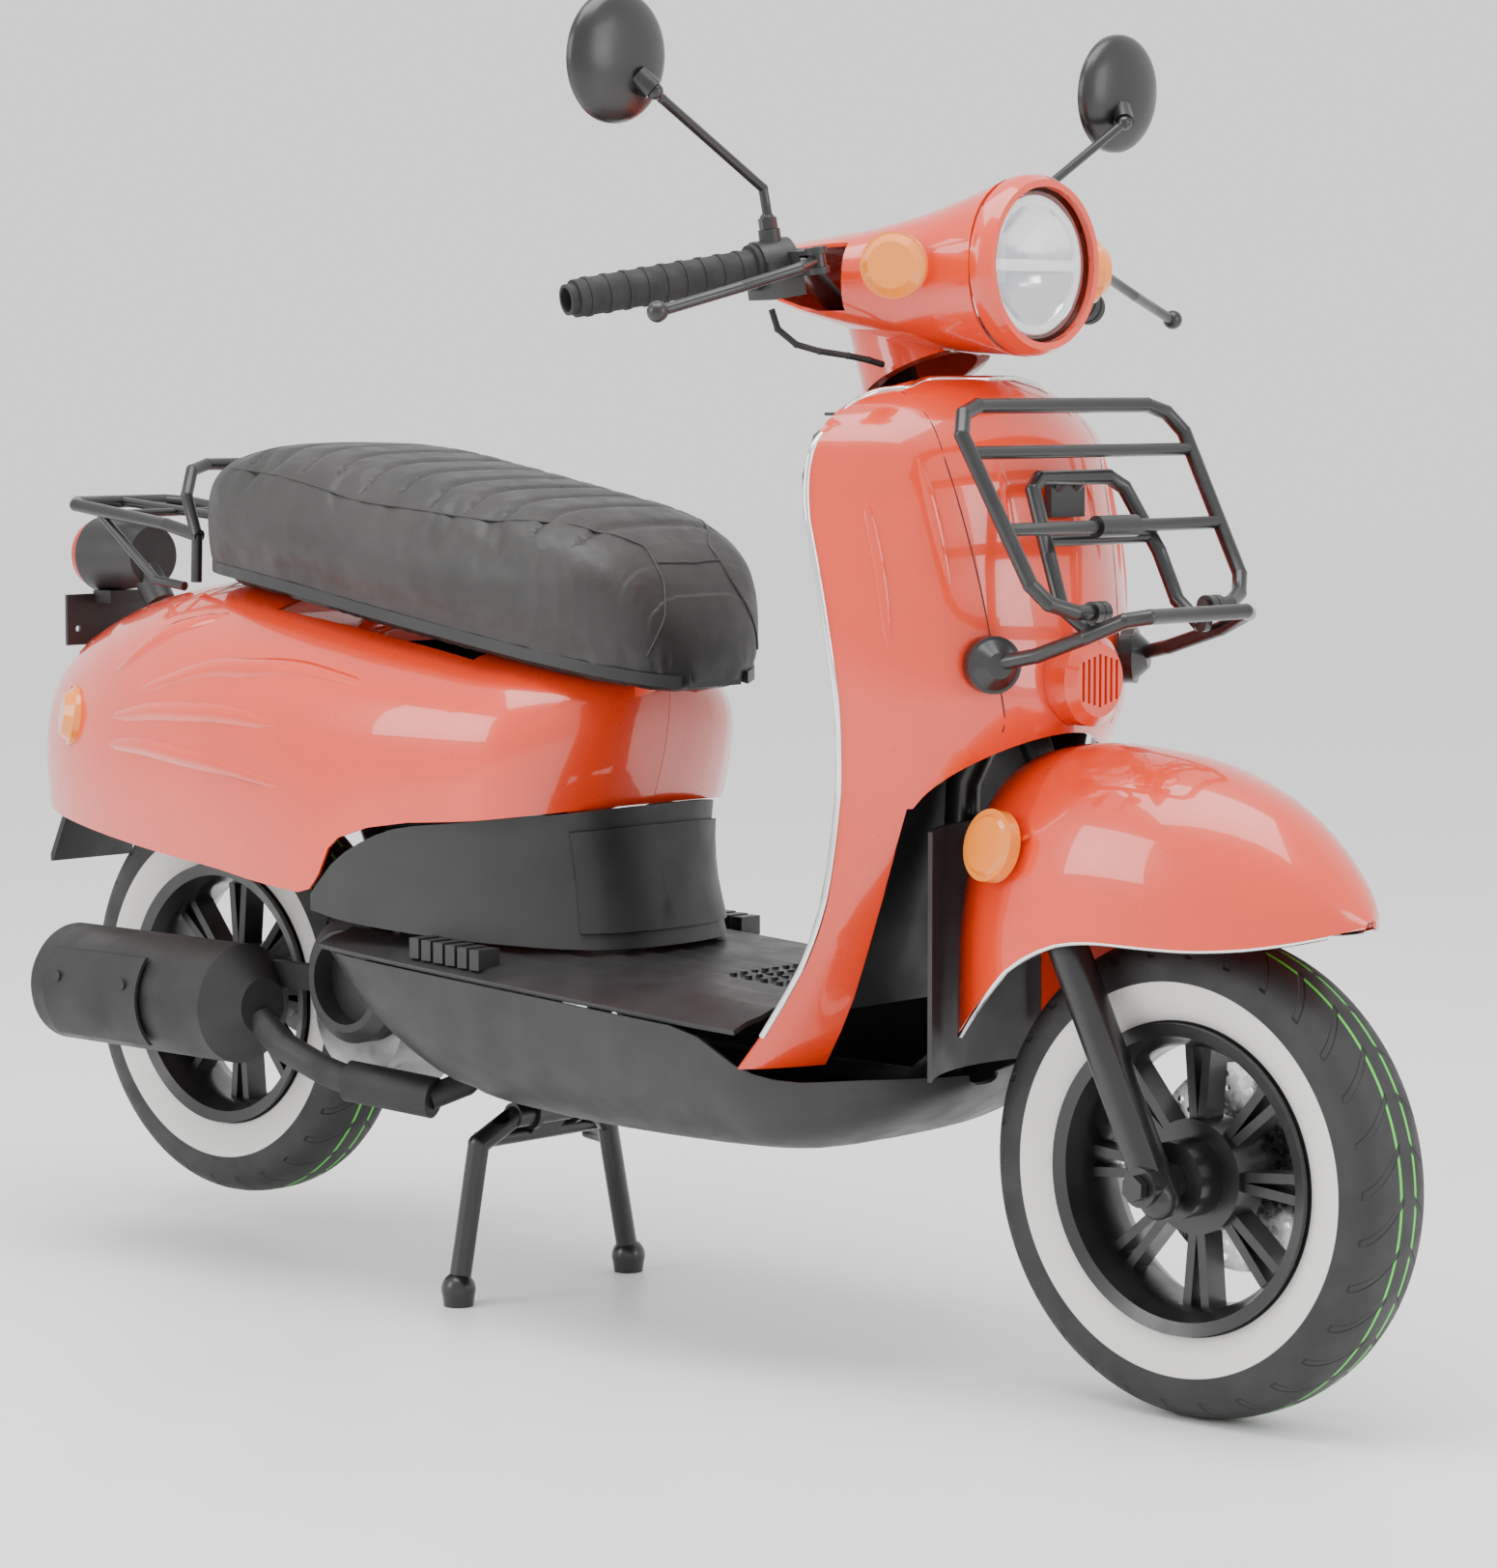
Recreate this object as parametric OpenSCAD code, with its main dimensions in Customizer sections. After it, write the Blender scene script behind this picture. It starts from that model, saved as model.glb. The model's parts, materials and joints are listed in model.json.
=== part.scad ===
/* [Overall] */
// Length from the front tyre to the tip of the tail
overall_length = 1812; // [1760:1:1900]
// Distance between the wheel centres
wheelbase = 1300; // [1240:1:1380]
// Width over the bar ends
bar_width = 744; // [680:2:800]
/* [Wheels] */
// Outer diameter of both tyres
tyre_od = 437; // [425:1:445]
// Width of both tyres
tyre_w = 92; // [80:1:100]
// Outer diameter of the rim flange
rim_od = 280; // [270:1:290]
// Number of spoke pairs in each rim
spoke_pairs = 8; // [5:1:10]
// Diameter of the wheel axles
axle_d = 12; // [10:0.5:15]
// Height of the rear wheel centre while the centre stand is down
rear_hub_z = 266; // [262:1:275]
// Diameter of the front brake disc
disc_d = 190; // [160:2:200]
/* [Steering] */
// Angle of the steering axis from the vertical
rake = 26; // [24:0.5:28]
// Distance of the axle in front of the steering axis
fork_offset = 15; // [10:1:20]
// Half the distance between the fork legs
fork_half = 75; // [74:1:78]
// Diameter of the fork's lower legs
fork_lower_d = 37; // [34:1:38]
// Diameter of the fork's upper tubes
fork_upper_d = 26; // [22:1:28]
// Diameter of the steering stem
stem_d = 30; // [26:1:34]
// Diameter of the handlebar tube
bar_d = 22; // [20:1:24]
// Diameter of the grips
grip_d = 34; // [30:1:38]
// Diameter of the headlamp lens
lamp_d = 140; // [120:2:146]
/* [Body] */
// Wall of the body panels
panel_t = 3; // [2:0.5:4]
// Length of the seat
seat_length = 672; // [640:2:690]
// Height of the floor at the rider's heels
floor_z = 372; // [366:1:378]
// Half width of the floor
floor_half = 208; // [200:1:214]
/* [Racks] */
// Diameter of the rack tubes
rack_tube_d = 14; // [10:1:16]
// Half width of the folding front rack
front_rack_half = 156; // [140:2:170]
/* [Stand] */
// Diameter of the stand's legs
stand_d = 22; // [18:1:24]
// Half the distance between the stand's feet
stand_half = 122; // [115:1:135]
/* [Hidden] */
$fn = 64;
tyre_r = tyre_od / 2;
fx = wheelbase / 2;
rx = -wheelbase / 2;
mid_x = overall_length / 2 - fx - tyre_r;
tail_len = overall_length - wheelbase - tyre_r;    // from the rear axle to the tip of the tail
orange = "#f05f37";
black = "#1c1c1d";
steel = "#b8bcc0";
run = 0.05;      // radial running clearance of pins and shafts
yoke_s = 300;    // height of the lower yoke above the axle, along the fork
head_s0 = 440;   // head tube, bottom and top, along the fork
head_s1 = 770;
bar_s = 870;     // handlebar clamp, along the fork

// ---- places -------------------------------------------------------------------------
module placed() translate([mid_x, 0, 0]) children();
// frame of the fork: origin at the front axle, Z up along the legs
module fork_frame() translate([mid_x + fx, 0, tyre_r]) rotate([0, -rake, 0]) children();
// a copy on each side of the centre plane
module both() {
    children();
    mirror([0, 1, 0]) children();
}
module y_cyl(d, h) rotate([90, 0, 0]) cylinder(d = d, h = h, center = true);
// the fork's frame inside placed()
module fork_frame_local() translate([fx, 0, tyre_r]) rotate([0, -rake, 0]) children();
module x_cyl(d, h) rotate([0, 90, 0]) cylinder(d = d, h = h, center = true);

// ---- tubes --------------------------------------------------------------------------
// puts Z on the line from a to b
module facing(a, b) {
    v = b - a;
    translate(a) rotate([0, acos(v[2] / norm(v)), atan2(v[1], v[0])]) children();
}
module rod(a, b, d) facing(a, b) cylinder(d = d, h = norm(b - a));
module tube_path(pts, d, knuckle = 0.4) {
    for (i = [0 : len(pts) - 2]) rod(pts[i], pts[i + 1], d);
    for (i = [1 : 1 : len(pts) - 2]) facing(pts[i], pts[i + 1]) sphere(d = d + knuckle, $fn = 32);
}

// the points and then their mirror images, back again
function across(pts) = concat(pts, [for (i = [len(pts) - 1 : -1 : 0]) [pts[i][0], -pts[i][1], pts[i][2]]]);

// ---- tables and smooth surfaces ------------------------------------------------------
function seg(t, k, i = 0) = (i >= len(t) - 2 || k < t[i + 1][0]) ? i : seg(t, k, i + 1);
function slope(t, i) = let (a = max(i - 1, 0), b = min(i + 1, len(t) - 1))
    (t[b] - t[a]) / (t[b][0] - t[a][0]);
// row of table t at key k, smooth between the rows
function look(t, k) = let (i = seg(t, k), h = t[i + 1][0] - t[i][0], s = (k - t[i][0]) / h)
    t[i] * (1 + 2 * s) * (1 - s) * (1 - s) + slope(t, i) * h * s * (1 - s) * (1 - s)
    + t[i + 1] * s * s * (3 - 2 * s) + slope(t, i + 1) * h * s * s * (s - 1);
function grid_normal(P, i, j) = let (
    a = P[min(i + 1, len(P) - 1)][j] - P[max(i - 1, 0)][j],
    b = P[i][min(j + 1, len(P[0]) - 1)] - P[i][max(j - 1, 0)],
    c = cross(a, b)) c / max(norm(c), 0.001);
// closed skin of thickness t under a grid of points
module skin(P, t) {
    nu = len(P);
    nv = len(P[0]);
    Q = [for (i = [0 : nu - 1]) [for (j = [0 : nv - 1]) P[i][j] - t * grid_normal(P, i, j)]];
    pts = concat([for (r = P) for (p = r) p], [for (r = Q) for (p = r) p]);
    m = nu * nv;
    function quad(a, b, c, d) = [[a, b, c], [a, c, d]];
    outer = [for (i = [0 : nu - 2]) for (j = [0 : nv - 2]) for (f = quad(i * nv + j,
        i * nv + j + 1, (i + 1) * nv + j + 1, (i + 1) * nv + j)) f];
    inner = [for (f = outer) [f[2] + m, f[1] + m, f[0] + m]];
    side_u = [for (i = [0 : nu - 2]) each concat(
        quad(i * nv, (i + 1) * nv, (i + 1) * nv + m, i * nv + m),
        quad(i * nv + nv - 1 + m, (i + 1) * nv + nv - 1 + m, (i + 1) * nv + nv - 1, i * nv + nv - 1))];
    side_v = [for (j = [0 : nv - 2]) each concat(
        quad(j + m, j + 1 + m, j + 1, j),
        quad((nu - 1) * nv + j, (nu - 1) * nv + j + 1, (nu - 1) * nv + j + 1 + m, (nu - 1) * nv + j + m))];
    all_faces = concat(outer, inner, side_u, side_v);
    polyhedron(points = pts, faces = t > 0 ? all_faces : [for (f = all_faces) [f[2], f[1], f[0]]], convexity = 6);
}
// closed solid through rings of points
module loft(R) {
    n = len(R[0]);
    m = len(R);
    walls = [for (i = [0 : m - 2]) for (j = [0 : n - 1]) each [
        [i * n + j, i * n + (j + 1) % n, (i + 1) * n + (j + 1) % n],
        [i * n + j, (i + 1) * n + (j + 1) % n, (i + 1) * n + j]]];
    polyhedron(points = [for (r = R) for (p = r) p],
        faces = concat(walls, [[for (j = [n - 1 : -1 : 0]) j]], [[for (j = [0 : n - 1]) (m - 1) * n + j]]),
        convexity = 6);
}
function lerp(a, b, s) = a + (b - a) * s;
function steps(a, b, n) = [for (i = [0 : n]) lerp(a, b, i / n)];
// arch from one lower edge over the crown to the other; t runs from -1 to 1
function arch(x, hw, low_w, zl, zc, zt, t, flank = 0.3, e = 0.8) = let (s = abs(t), g = t < 0 ? -1 : 1)
    s > 1 - flank
    ? let (f = (1 - s) / flank) [x, g * lerp(low_w, hw, sin(90 * f)), lerp(zl, zc, f)]
    : let (a = 90 * (1 - s / (1 - flank)))
        [x, g * hw * pow(cos(a), e), zc + (zt - zc) * pow(sin(a), e)];

// ---- frame and body -------------------------------------------------------------------
pivot = [-255, 290];      // engine pivot, X and Z from the middle of the wheelbase
stand_pivot = [-181, 186];
shock_top = [rx + 22, 560];
shock_low = [rx + 22, 350];
shock_y = 92;

module frame_tubes() color(black) {
    difference() {
        union() {
            fork_frame() translate([-fork_offset, 0, head_s0])
                cylinder(d = stem_d + 16, h = head_s1 - head_s0);
            placed() {
                tube_path([[fx - 228, 0, 655], [fx - 284, 0, 556], [fx - 290, 0, 450], [fx - 305, 0, 290],
                    [fx - 340, 0, 262], [-150, 0, 262]], 34);
                tube_path(across([[-150, 4, 262], [-200, 90, 270], [-272, 128, 400], [-345, 132, 560],
                    [rx + 60, 128, 600], [rx - 110, 60, 640]]), 25);
                translate([-150, 0, 262]) y_cyl(30, 60);
                translate([-309, 0, 482]) y_cyl(25, 256);
                both() hull() {
                    translate([pivot[0], 120, pivot[1]]) y_cyl(26, 8);
                    translate([pivot[0] + 25, 120, pivot[1] + 50]) y_cyl(24, 8);
                }
                translate([pivot[0], 0, pivot[1]]) y_cyl(12, 246);
                both() hull() {
                    translate([stand_pivot[0], 30, stand_pivot[1]]) y_cyl(34, 6);
                    translate([stand_pivot[0] + 12, 30, stand_pivot[1] + 82]) y_cyl(26, 6);
                }
                translate([stand_pivot[0], 0, stand_pivot[1]]) y_cyl(14, 112);
                translate([shock_top[0], shock_y + 23.3, shock_top[1]]) y_cyl(26, 28);
                translate([shock_top[0], shock_y, shock_top[1]]) y_cyl(12, 60);
                rod([shock_top[0], 121, shock_top[1] + 10], [shock_top[0], 127, 604], 18);
            }
        }
        fork_frame() translate([-fork_offset, 0, head_s0 - 1])
            cylinder(d = stem_d + 2 * run, h = head_s1 - head_s0 + 2);
    }
}

// x from the rear axle, half width, half width at the lower edge, lower edge, widest height, crown
cowl = [[-293, 6, 5, 469, 478, 490], [-284, 34, 30, 467, 490, 544], [-258, 66, 62, 463, 505, 598],
    [-205, 104, 100, 456, 520, 642], [-130, 138, 132, 450, 530, 676], [-40, 164, 156, 442, 545, 702],
    [60, 182, 172, 433, 555, 716], [160, 193, 182, 425, 560, 710], [260, 197, 190, 414, 560, 697],
    [322, 196, 193, 418, 560, 688], [352, 194, 192, 466, 560, 683], [430, 186, 184, 488, 562, 672],
    [500, 172, 170, 494, 562, 662]];
// tail stations stretch with the overall length
function cowl_x(k) = rx + (k < 0 ? k * tail_len / 293 : k);
bucket = [rx + 190, rx + 470, 108];    // rear, front and half width of the under-seat opening
// nose of the cowl: the section at the last station drawn in towards the centre line
function nose(t, f) = let (c = cowl[len(cowl) - 1], p = arch(cowl_x(c[0]), c[1], c[2], c[3], c[4], c[5], t),
    w = (p[2] - c[3]) / (c[5] - c[3]), crown = max(0, (w - 0.9) / 0.1),
    reach = (112 + 24 * sin(90 * min(1, w / 0.8))) * (1 - 0.2 * crown * crown))
    [p[0] + reach * pow(sin(f), 0.8), p[1] * max(pow(cos(f), 0.8), 0.002),
        p[2] + sin(f) * (14 * (1 - w) - 20 * w)];
module rear_cowl() color(orange) placed() {
    seat_bracket();
    difference() {
        cowl_skin();
        translate([bucket[0] - 6, -bucket[2] - 6, 620])
            cube([bucket[1] - bucket[0] + 12, 2 * bucket[2] + 12, 200]);
        at_rear_indicator() translate([0, 0, -20]) cylinder(d = 66.6, h = 40);
    }
}
module cowl_skin()
    skin(concat([for (k = concat(steps(-293, -205, 6), steps(-170, 300, 11), steps(318, 360, 3), [400, 450, 500]))
        let (c = look(cowl, k)) [for (t = steps(-1, 1, 24)) arch(cowl_x(k), c[1], c[2], c[3], c[4], c[5], t)]],
        [for (f = [12, 26, 42, 58, 72, 82, 90]) [for (t = steps(-1, 1, 24)) nose(t, f)]]), panel_t);
// lugs and pin of the seat hinge, on the nose of the frame
module seat_bracket() {
    both() hull() {
        translate([seat_hinge[0], 42, seat_hinge[1]]) y_cyl(14, 6);
        translate([seat_hinge[0] - 42, 42, seat_hinge[1] - 12]) y_cyl(14, 6);
    }
    translate([seat_hinge[0], 0, seat_hinge[1]]) y_cyl(8, 90);
}
module storage_bucket() color(black) placed() difference() {
    translate([bucket[0], -bucket[2], 500]) cube([bucket[1] - bucket[0], 2 * bucket[2], 150]);
    translate([bucket[0] + 3, -bucket[2] + 3, 503])
        cube([bucket[1] - bucket[0] - 6, 2 * bucket[2] - 6, 150]);
}

// x from the middle, half width, edge height, bottom height
belly = [[-333, 194, 398, 372], [-290, 199, 392, 296], [-240, 203, 384, 248], [-165, 206, 374, 213],
    [-60, 208, 362, 203], [34, 208, 352, 200], [150, 208, 336, 201], [220, 206, 322, 204],
    [270, 200, 296, 210], [310, 178, 286, 222], [350, 128, 286, 242], [375, 76, 284, 260],
    [388, 20, 282, 274]];
function belly_x(k) = k > 200 ? k + fx - 650 : k;
module belly_skin() skin([for (k = concat(steps(-333, -165, 7), steps(-120, 220, 7), steps(245, 388, 8)))
        let (c = look(belly, k)) [for (t = steps(1, -1, 24)) let (a = 90 * abs(t), g = t < 0 ? -1 : 1)
        [belly_x(k), g * c[1] * pow(sin(a), 0.62), c[2] - (c[2] - c[3]) * pow(cos(a), 0.75)]]], -panel_t);
module belly_pan() color(black) placed() difference() {
    union() {
        belly_skin();
        // lug of the side stand
        hull() {
            translate([side_pivot[0], side_pivot[1] - 12, side_pivot[2]]) y_cyl(22, 8);
            translate([side_pivot[0], side_pivot[1] - 12, side_pivot[2] + 22]) y_cyl(34, 8);
        }
    }
    translate([-150, 0, floor_z - 24]) rotate([0, 3.15, 0]) translate([-190, -300, 0]) cube([620, 600, 200]);
    // opening for the engine, the stand and the exhaust
    translate([-400, -150, 0]) cube([262, 300, 380]);
    translate(side_pivot) y_cyl(10 + 2 * run, 60);
}
side_pivot = [-92, 158, 205];

// floor height along x, falling a little towards the toes
function floor_at(x) = floor_z - 0.055 * (x + 150);
module floorboard() color(black) placed() {
    difference() {
        skin([for (x = concat(steps(-312, -120, 4), steps(-60, 262, 8))) [for (t = steps(-1, 1, 22))
            let (w = min(floor_half, look(belly, min(x, 262))[1]) + 2)
            [belly_x(x), w * t, floor_at(x) - 18 * pow(abs(t), 5)
                + (abs(t) < 0.86 ? 1.5 * cos(360 * 5.5 * t) : 0)]]], 5);
        translate([-360, -110, 300]) cube([250, 220, 140]);
        translate([-360, -152, 300]) cube([150, 304, 140]);
    }
    // foot blocks at the rear corners
    for (g = [-1, 1]) for (i = [0 : 5])
        translate([-176 + i * 17, g * 187 - 14, floor_at(-160 + i * 17) - 12]) cube([13, 28, 20]);
    // grip studs for the feet
    for (i = [0 : 5]) for (j = [-4 : 4])
        translate([128 + i * 20, j * 15, floor_at(128 + i * 20) - 4]) cylinder(d = 7, h = 7, $fn = 16);
}

// height, half width, x at the edge and on the centre line (from the front axle)
shield = [[297, 208, -378, -318], [350, 201, -338, -292], [433, 188, -298, -262],
    [547, 180, -281, -200], [620, 190, -272, -150], [662, 199, -270, -152], [750, 208, -280, -163],
    [819, 209, -295, -176], [860, 202, -296, -188], [884, 184, -297, -201], [905, 150, -297, -217],
    [919, 108, -290, -233], [927, 66, -284, -249]];
arch_half = 132;
module leg_shield() color(orange) placed() difference() {
    skin([for (z = concat(steps(297, 620, 10), steps(650, 860, 7), steps(872, 927, 6)))
        let (c = look(shield, z)) [for (t = steps(1, -1, 26))
        [fx + c[2] + (c[3] - c[2]) * pow(max(cos(90 * t), 0), 0.7), c[1] * t, z]]], panel_t);
    // wheel arch
    translate([fx - 400, 0, 0]) rotate([90, 0, 90]) linear_extrude(400) union() {
        translate([-arch_half, 0]) square([2 * arch_half, 540]);
        translate([0, 516]) scale([1, 0.68]) circle(arch_half);
    }
    translate([fx - 172, 0, horn_z]) x_cyl(84.6, 80);
}
horn_z = 655;
// rider's side of the shield: x on the centre line from the front axle
inner = [[345, -348], [450, -325], [560, -310], [650, -306], [760, -330], [850, -364], [912, -392]];
module inner_shield() color(black) {
    placed() difference() {
        skin([for (z = steps(345, 912, 16)) let (c = look(shield, z), m = look(inner, z)) [for (t = steps(-1, 1, 22))
            let (e = c[2] - 9) [fx + e + (m[1] - e) * pow(max(cos(90 * t), 0), 1.3), (c[1] - 5) * t, z]]], panel_t);
        translate([fx - 300, 0, 770]) x_cyl(30, 200);
        // way through for the steering neck
        translate([fx - 420, -60, 895]) cube([90, 120, 30]);
    }
    placed() difference() {
        translate([fx - 388, -80, 893]) cube([116, 160, 3]);
        fork_frame_local() translate([-fork_offset, 0, 0]) cylinder(d = 88, h = 1000);
    }
}

module wheel_well() color(black) placed() intersection() {
    translate([fx - 60, 0, 292]) difference() {
        cylinder(r = 204, h = 228);
        translate([0, 0, -1]) cylinder(r = 200, h = 240);
    }
    translate([fx - 280, 6 - arch_half, 280]) cube([120, 2 * arch_half - 12, 260]);
}
// outline of the body under the seat: share of the way round, x, y, lower edge, upper edge
wrap = [[0, -14, 0, 370, 508], [0.1, -16, 40, 370, 508], [0.2, -27, 80, 370, 506], [0.3, -52, 110, 371, 503],
    [0.42, -92, 134, 373, 499], [0.58, -148, 158, 376, 492], [0.74, -220, 181, 382, 482], [0.88, -285, 191, 388, 452],
    [1, -326, 194, 396, 412]];
// point on the wrap: t runs round it, v up it, d out of it
function wrap_at(t, v, d) = let (c = look(wrap, abs(t)), g = t < 0 ? -1 : 1, k = 1 - abs(t), a = 90 - 90 * min(1, abs(t) / 0.5))
    [c[1] + k * (10 - 26 * sin(90 * v)) + d * sin(a), g * (c[2] - 9 * sin(180 * v) * k + d * cos(a)),
        lerp(c[3], c[4], v)];
module side_panel() color(black) placed()
    skin([for (t = steps(-1, 1, 44)) [for (v = steps(0, 1, 6)) wrap_at(t, v, 0)]], -panel_t);
module access_cover() color(black) placed()
    skin([for (t = steps(-0.27, 0.27, 16)) [for (v = steps(0.12, 0.86, 5)) wrap_at(t, v, 4.2)]], -panel_t);

module rear_rack() color(black) placed() {
    d = rack_tube_d;
    z = 792;
    tube_path(across([[rx + 24, 82, 761], [rx - 30, 82, 772], [rx - 185, 80, z - 2], [rx - 205, 62, z]]), d);
    tube_path([[rx - 12, 0, 835], [rx - 30, 0, 778], [rx - 203, 0, z]], d - 4);
    translate([rx - 110, 0, 782]) y_cyl(d - 5, 162);
    both() tube_path([[rx - 150, 78, 785], [rx - 64, 70, 712], [rx - 20, 66, 706]], d - 4);
    // grab hoop behind the seat
    tube_path(across([[rx + 20, 83, 762], [rx + 6, 84, 804], [rx - 4, 68, 830], [rx - 12, 40, 836]]), d - 1);
    both() rod([rx + 20, 82, 762], [rx + 18, 82, 712], d - 2);
}
lamp = [rx - 235, 733];    // tail lamp centre
plate_hole_y = 45;
module tail_housing() color(black) placed() {
    translate([lamp[0], 0, lamp[1]]) rotate([0, 90, 0]) difference() {
        cylinder(d1 = 84, d2 = 66, h = 84);
        translate([0, 0, -1]) cylinder(d = 76, h = 20);
    }
    // arm down to the cowl and the plate bracket
    rod([lamp[0] + 66, 0, lamp[1] - 10], [lamp[0] + 96, 0, 682], 34);
    difference() {
        translate([lamp[0] + 4, -60, 634]) cube([4, 120, 56]);
        both() translate([lamp[0] + 6, plate_hole_y, 652]) x_cyl(7, 20);
    }
    translate([lamp[0] + 6, -22, 680]) cube([30, 44, 14]);
}
module tail_lens() color("red") placed() translate([lamp[0] - 12, 0, lamp[1]]) rotate([0, 90, 0]) {
    cylinder(d = 75, h = 26);
    translate([0, 0, -3]) cylinder(d1 = 62, d2 = 75, h = 3.01);
}
module mudflap() color(black) placed() {
    hull() {
        translate([rx - tail_len + 26, -56, 392]) cube([4, 112, 8]);
        translate([rx - tail_len + 52, -52, 456]) cube([4, 104, 6]);
    }
    translate([rx - tail_len + 52, -50, 456]) cube([52, 100, 5]);
}
module at_rear_indicator() both() translate([rx - 128, 132, 566]) rotate([0, 0, 32]) rotate([-82, 0, 0]) children();
module rear_indicators() color("#d9752c") placed() at_rear_indicator() {
    translate([0, 0, -14]) cylinder(d = 66, h = 18);
    translate([0, 0, 4]) cylinder(d1 = 60, d2 = 44, h = 10);
}
module horn_cover() color(orange) placed() difference() {
    union() {
        translate([fx - 172, 0, horn_z]) rotate([0, 90, 0]) cylinder(d = 84, h = 40);
        translate([fx - 132, 0, horn_z]) rotate([0, 90, 0]) cylinder(d1 = 84, d2 = 66, h = 8);
    }
    translate([fx - 173, 0, horn_z]) rotate([0, 90, 0]) cylinder(d = 76, h = 40);
    for (y = [-3 : 3]) translate([fx - 150, y * 8 - 1.8, horn_z - 24 + 2 * abs(y)]) cube([40, 3.6, 48 - 4 * abs(y)]);
}

// ---- front carrier ---------------------------------------------------------------------
hinge = [fx - 62, 722];    // hinge line of the folding rack
module front_carrier() color(black) placed() {
    d = rack_tube_d;
    // lower loop with its two rubber feet
    both() tube_path([[fx - 158, 102, 674], [fx - 120, 96, 682], [fx - 62, 98, 701], [fx - 26, 90, 716],
        [fx - 14, 70, 719], [fx - 14, -1, 719]], d);
    both() translate([fx - 173.5, 97, 672]) rotate([0, 0, 26.6]) rotate([0, 90, 0]) {
        cylinder(d = 52, h = 12);
        translate([0, 0, 12]) cylinder(d1 = 46, d2 = 24, h = 12);
    }
    // inner frame
    both() tube_path([[fx - 72, 80, 704], [fx - 102, 84, 726], [fx - 120, 80, 770], [fx - 150, 66, 828],
        [fx - 156, 50, 838], [fx - 156, -1, 838]], d);
    both() rod([fx - 128, 0, 783], [fx - 128, 76, 783], d - 3);
    // bracket on the shield
    translate([fx - 170.5, -24, 802]) cube([8, 48, 36]);
    both() rod([fx - 166, 14, 828], [fx - 154, 14, 838], 10);
    // eyes of the hinge
    both() difference() {
        union() {
            translate([hinge[0], 78, hinge[1]]) y_cyl(20, 9);
            hull() {
                translate([hinge[0], 78, hinge[1]]) y_cyl(14, 8);
                translate([fx - 68, 79, 704]) y_cyl(12, 8);
            }
        }
        translate([hinge[0], 78, hinge[1]]) y_cyl(8 + 2 * run, 20);
    }
}
module front_rack_grid() color(black) placed() {
    d = rack_tube_d;
    h = front_rack_half;
    both() tube_path([[hinge[0], 89, hinge[1]], [hinge[0] - 1, 112, hinge[1] + 1], [fx - 72, h - 18, 731],
        [fx - 82, h - 4, 748], [fx - 154, h + 4, 878], [fx - 164, h - 10, 896], [fx - 168, h - 34, 903],
        [fx - 168, -1, 903]], d);
    both() rod([fx - 146, 0, 862], [fx - 146, h + 2, 862], d - 2);
    both() rod([fx - 108, 0, 795], [fx - 108, h, 795], d - 2);
    both() translate([hinge[0], 88, hinge[1]]) y_cyl(20, 9);
    both() rod([hinge[0], 70, hinge[1]], [hinge[0], 90, hinge[1]], 8);
    both() translate([hinge[0], 71, hinge[1]]) y_cyl(13, 4);
    translate([fx - 108, 0, 795]) y_cyl(20, 56);
}

// ---- seat ---------------------------------------------------------------------------------
// x from the rear axle, half width at the base, base height, crown height
seat_scale = seat_length / 672;
seat = [[34, 50, 742, 772], [42, 84, 740, 812], [62, 110, 738, 838], [100, 130, 735, 853], [170, 144, 728, 858],
    [252, 152, 717, 854], [335, 156, 704, 840], [425, 156, 690, 824], [515, 150, 675, 808],
    [590, 138, 662, 794], [640, 120, 653, 770], [672, 96, 646, 738], [694, 66, 641, 700], [706, 30, 640, 672]];
function seat_x(k) = rx + 706 - (706 - k) * seat_scale;
module seat_cushion() color("#2c2c2e") placed()
    loft([for (k = concat(steps(34, 100, 7), steps(135, 620, 13), steps(640, 706, 6))) let (c = look(seat, k))
        [for (t = steps(-1, 1, 20)) arch(seat_x(k), c[1], c[1] * 0.94, c[2], lerp(c[2], c[3], 0.42), c[3], t,
            0.28, 0.62)]]);
module seat_pan() color(black) placed() {
    difference() {
        pan_solid();
        // slots for the lugs of the hinge
        both() translate([seat_hinge[0] - 60, 37, 600]) cube([100, 10, 60]);
        translate([seat_hinge[0], 0, seat_hinge[1]]) y_cyl(13, 76);
    }
    // hinge knuckle at the front
    difference() {
        translate([seat_hinge[0], 0, seat_hinge[1]]) y_cyl(14, 70);
        translate([seat_hinge[0], 0, seat_hinge[1]]) y_cyl(8 + 2 * run, 90);
    }
}
module pan_solid() loft([for (k = concat(steps(40, 100, 4), steps(150, 620, 8), steps(640, 698, 4))) let (c = look(seat, k))
        [for (s = [[1, 0], [-1, 0], [-1, 1], [1, 1]]) [seat_x(k), s[0] * (c[1] * 0.94 - 6), c[2] - 0.5 - 12 * (1 - s[1])]]]);
seat_hinge = [rx + 674, 636];

// ---- steering ----------------------------------------------------------------------------
module steering_stem() color(black) difference() {
    fork_frame() stem_parts();
    placed() translate(bar_mid + [4, 0, 2]) y_cyl(bar_d + 0.6, 119);
}
module stem_parts() {
    translate([-fork_offset, 0, yoke_s + 10]) cylinder(d = stem_d, h = bar_s - yoke_s - 16);
    // lower yoke
    hull() for (y = [-fork_half, fork_half]) translate([0, y, yoke_s]) cylinder(d = fork_upper_d + 8, h = 26, $fn = 32);
    translate([-fork_offset, 0, yoke_s]) cylinder(d = 62, h = 40);
    // upper tubes
    both() translate([0, fork_half, 110]) cylinder(d = fork_upper_d, h = yoke_s - 90);
    // clamp for the bar
    translate([-fork_offset, 0, bar_s - 28]) cylinder(d = stem_d + 7, h = 46);
}
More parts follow.
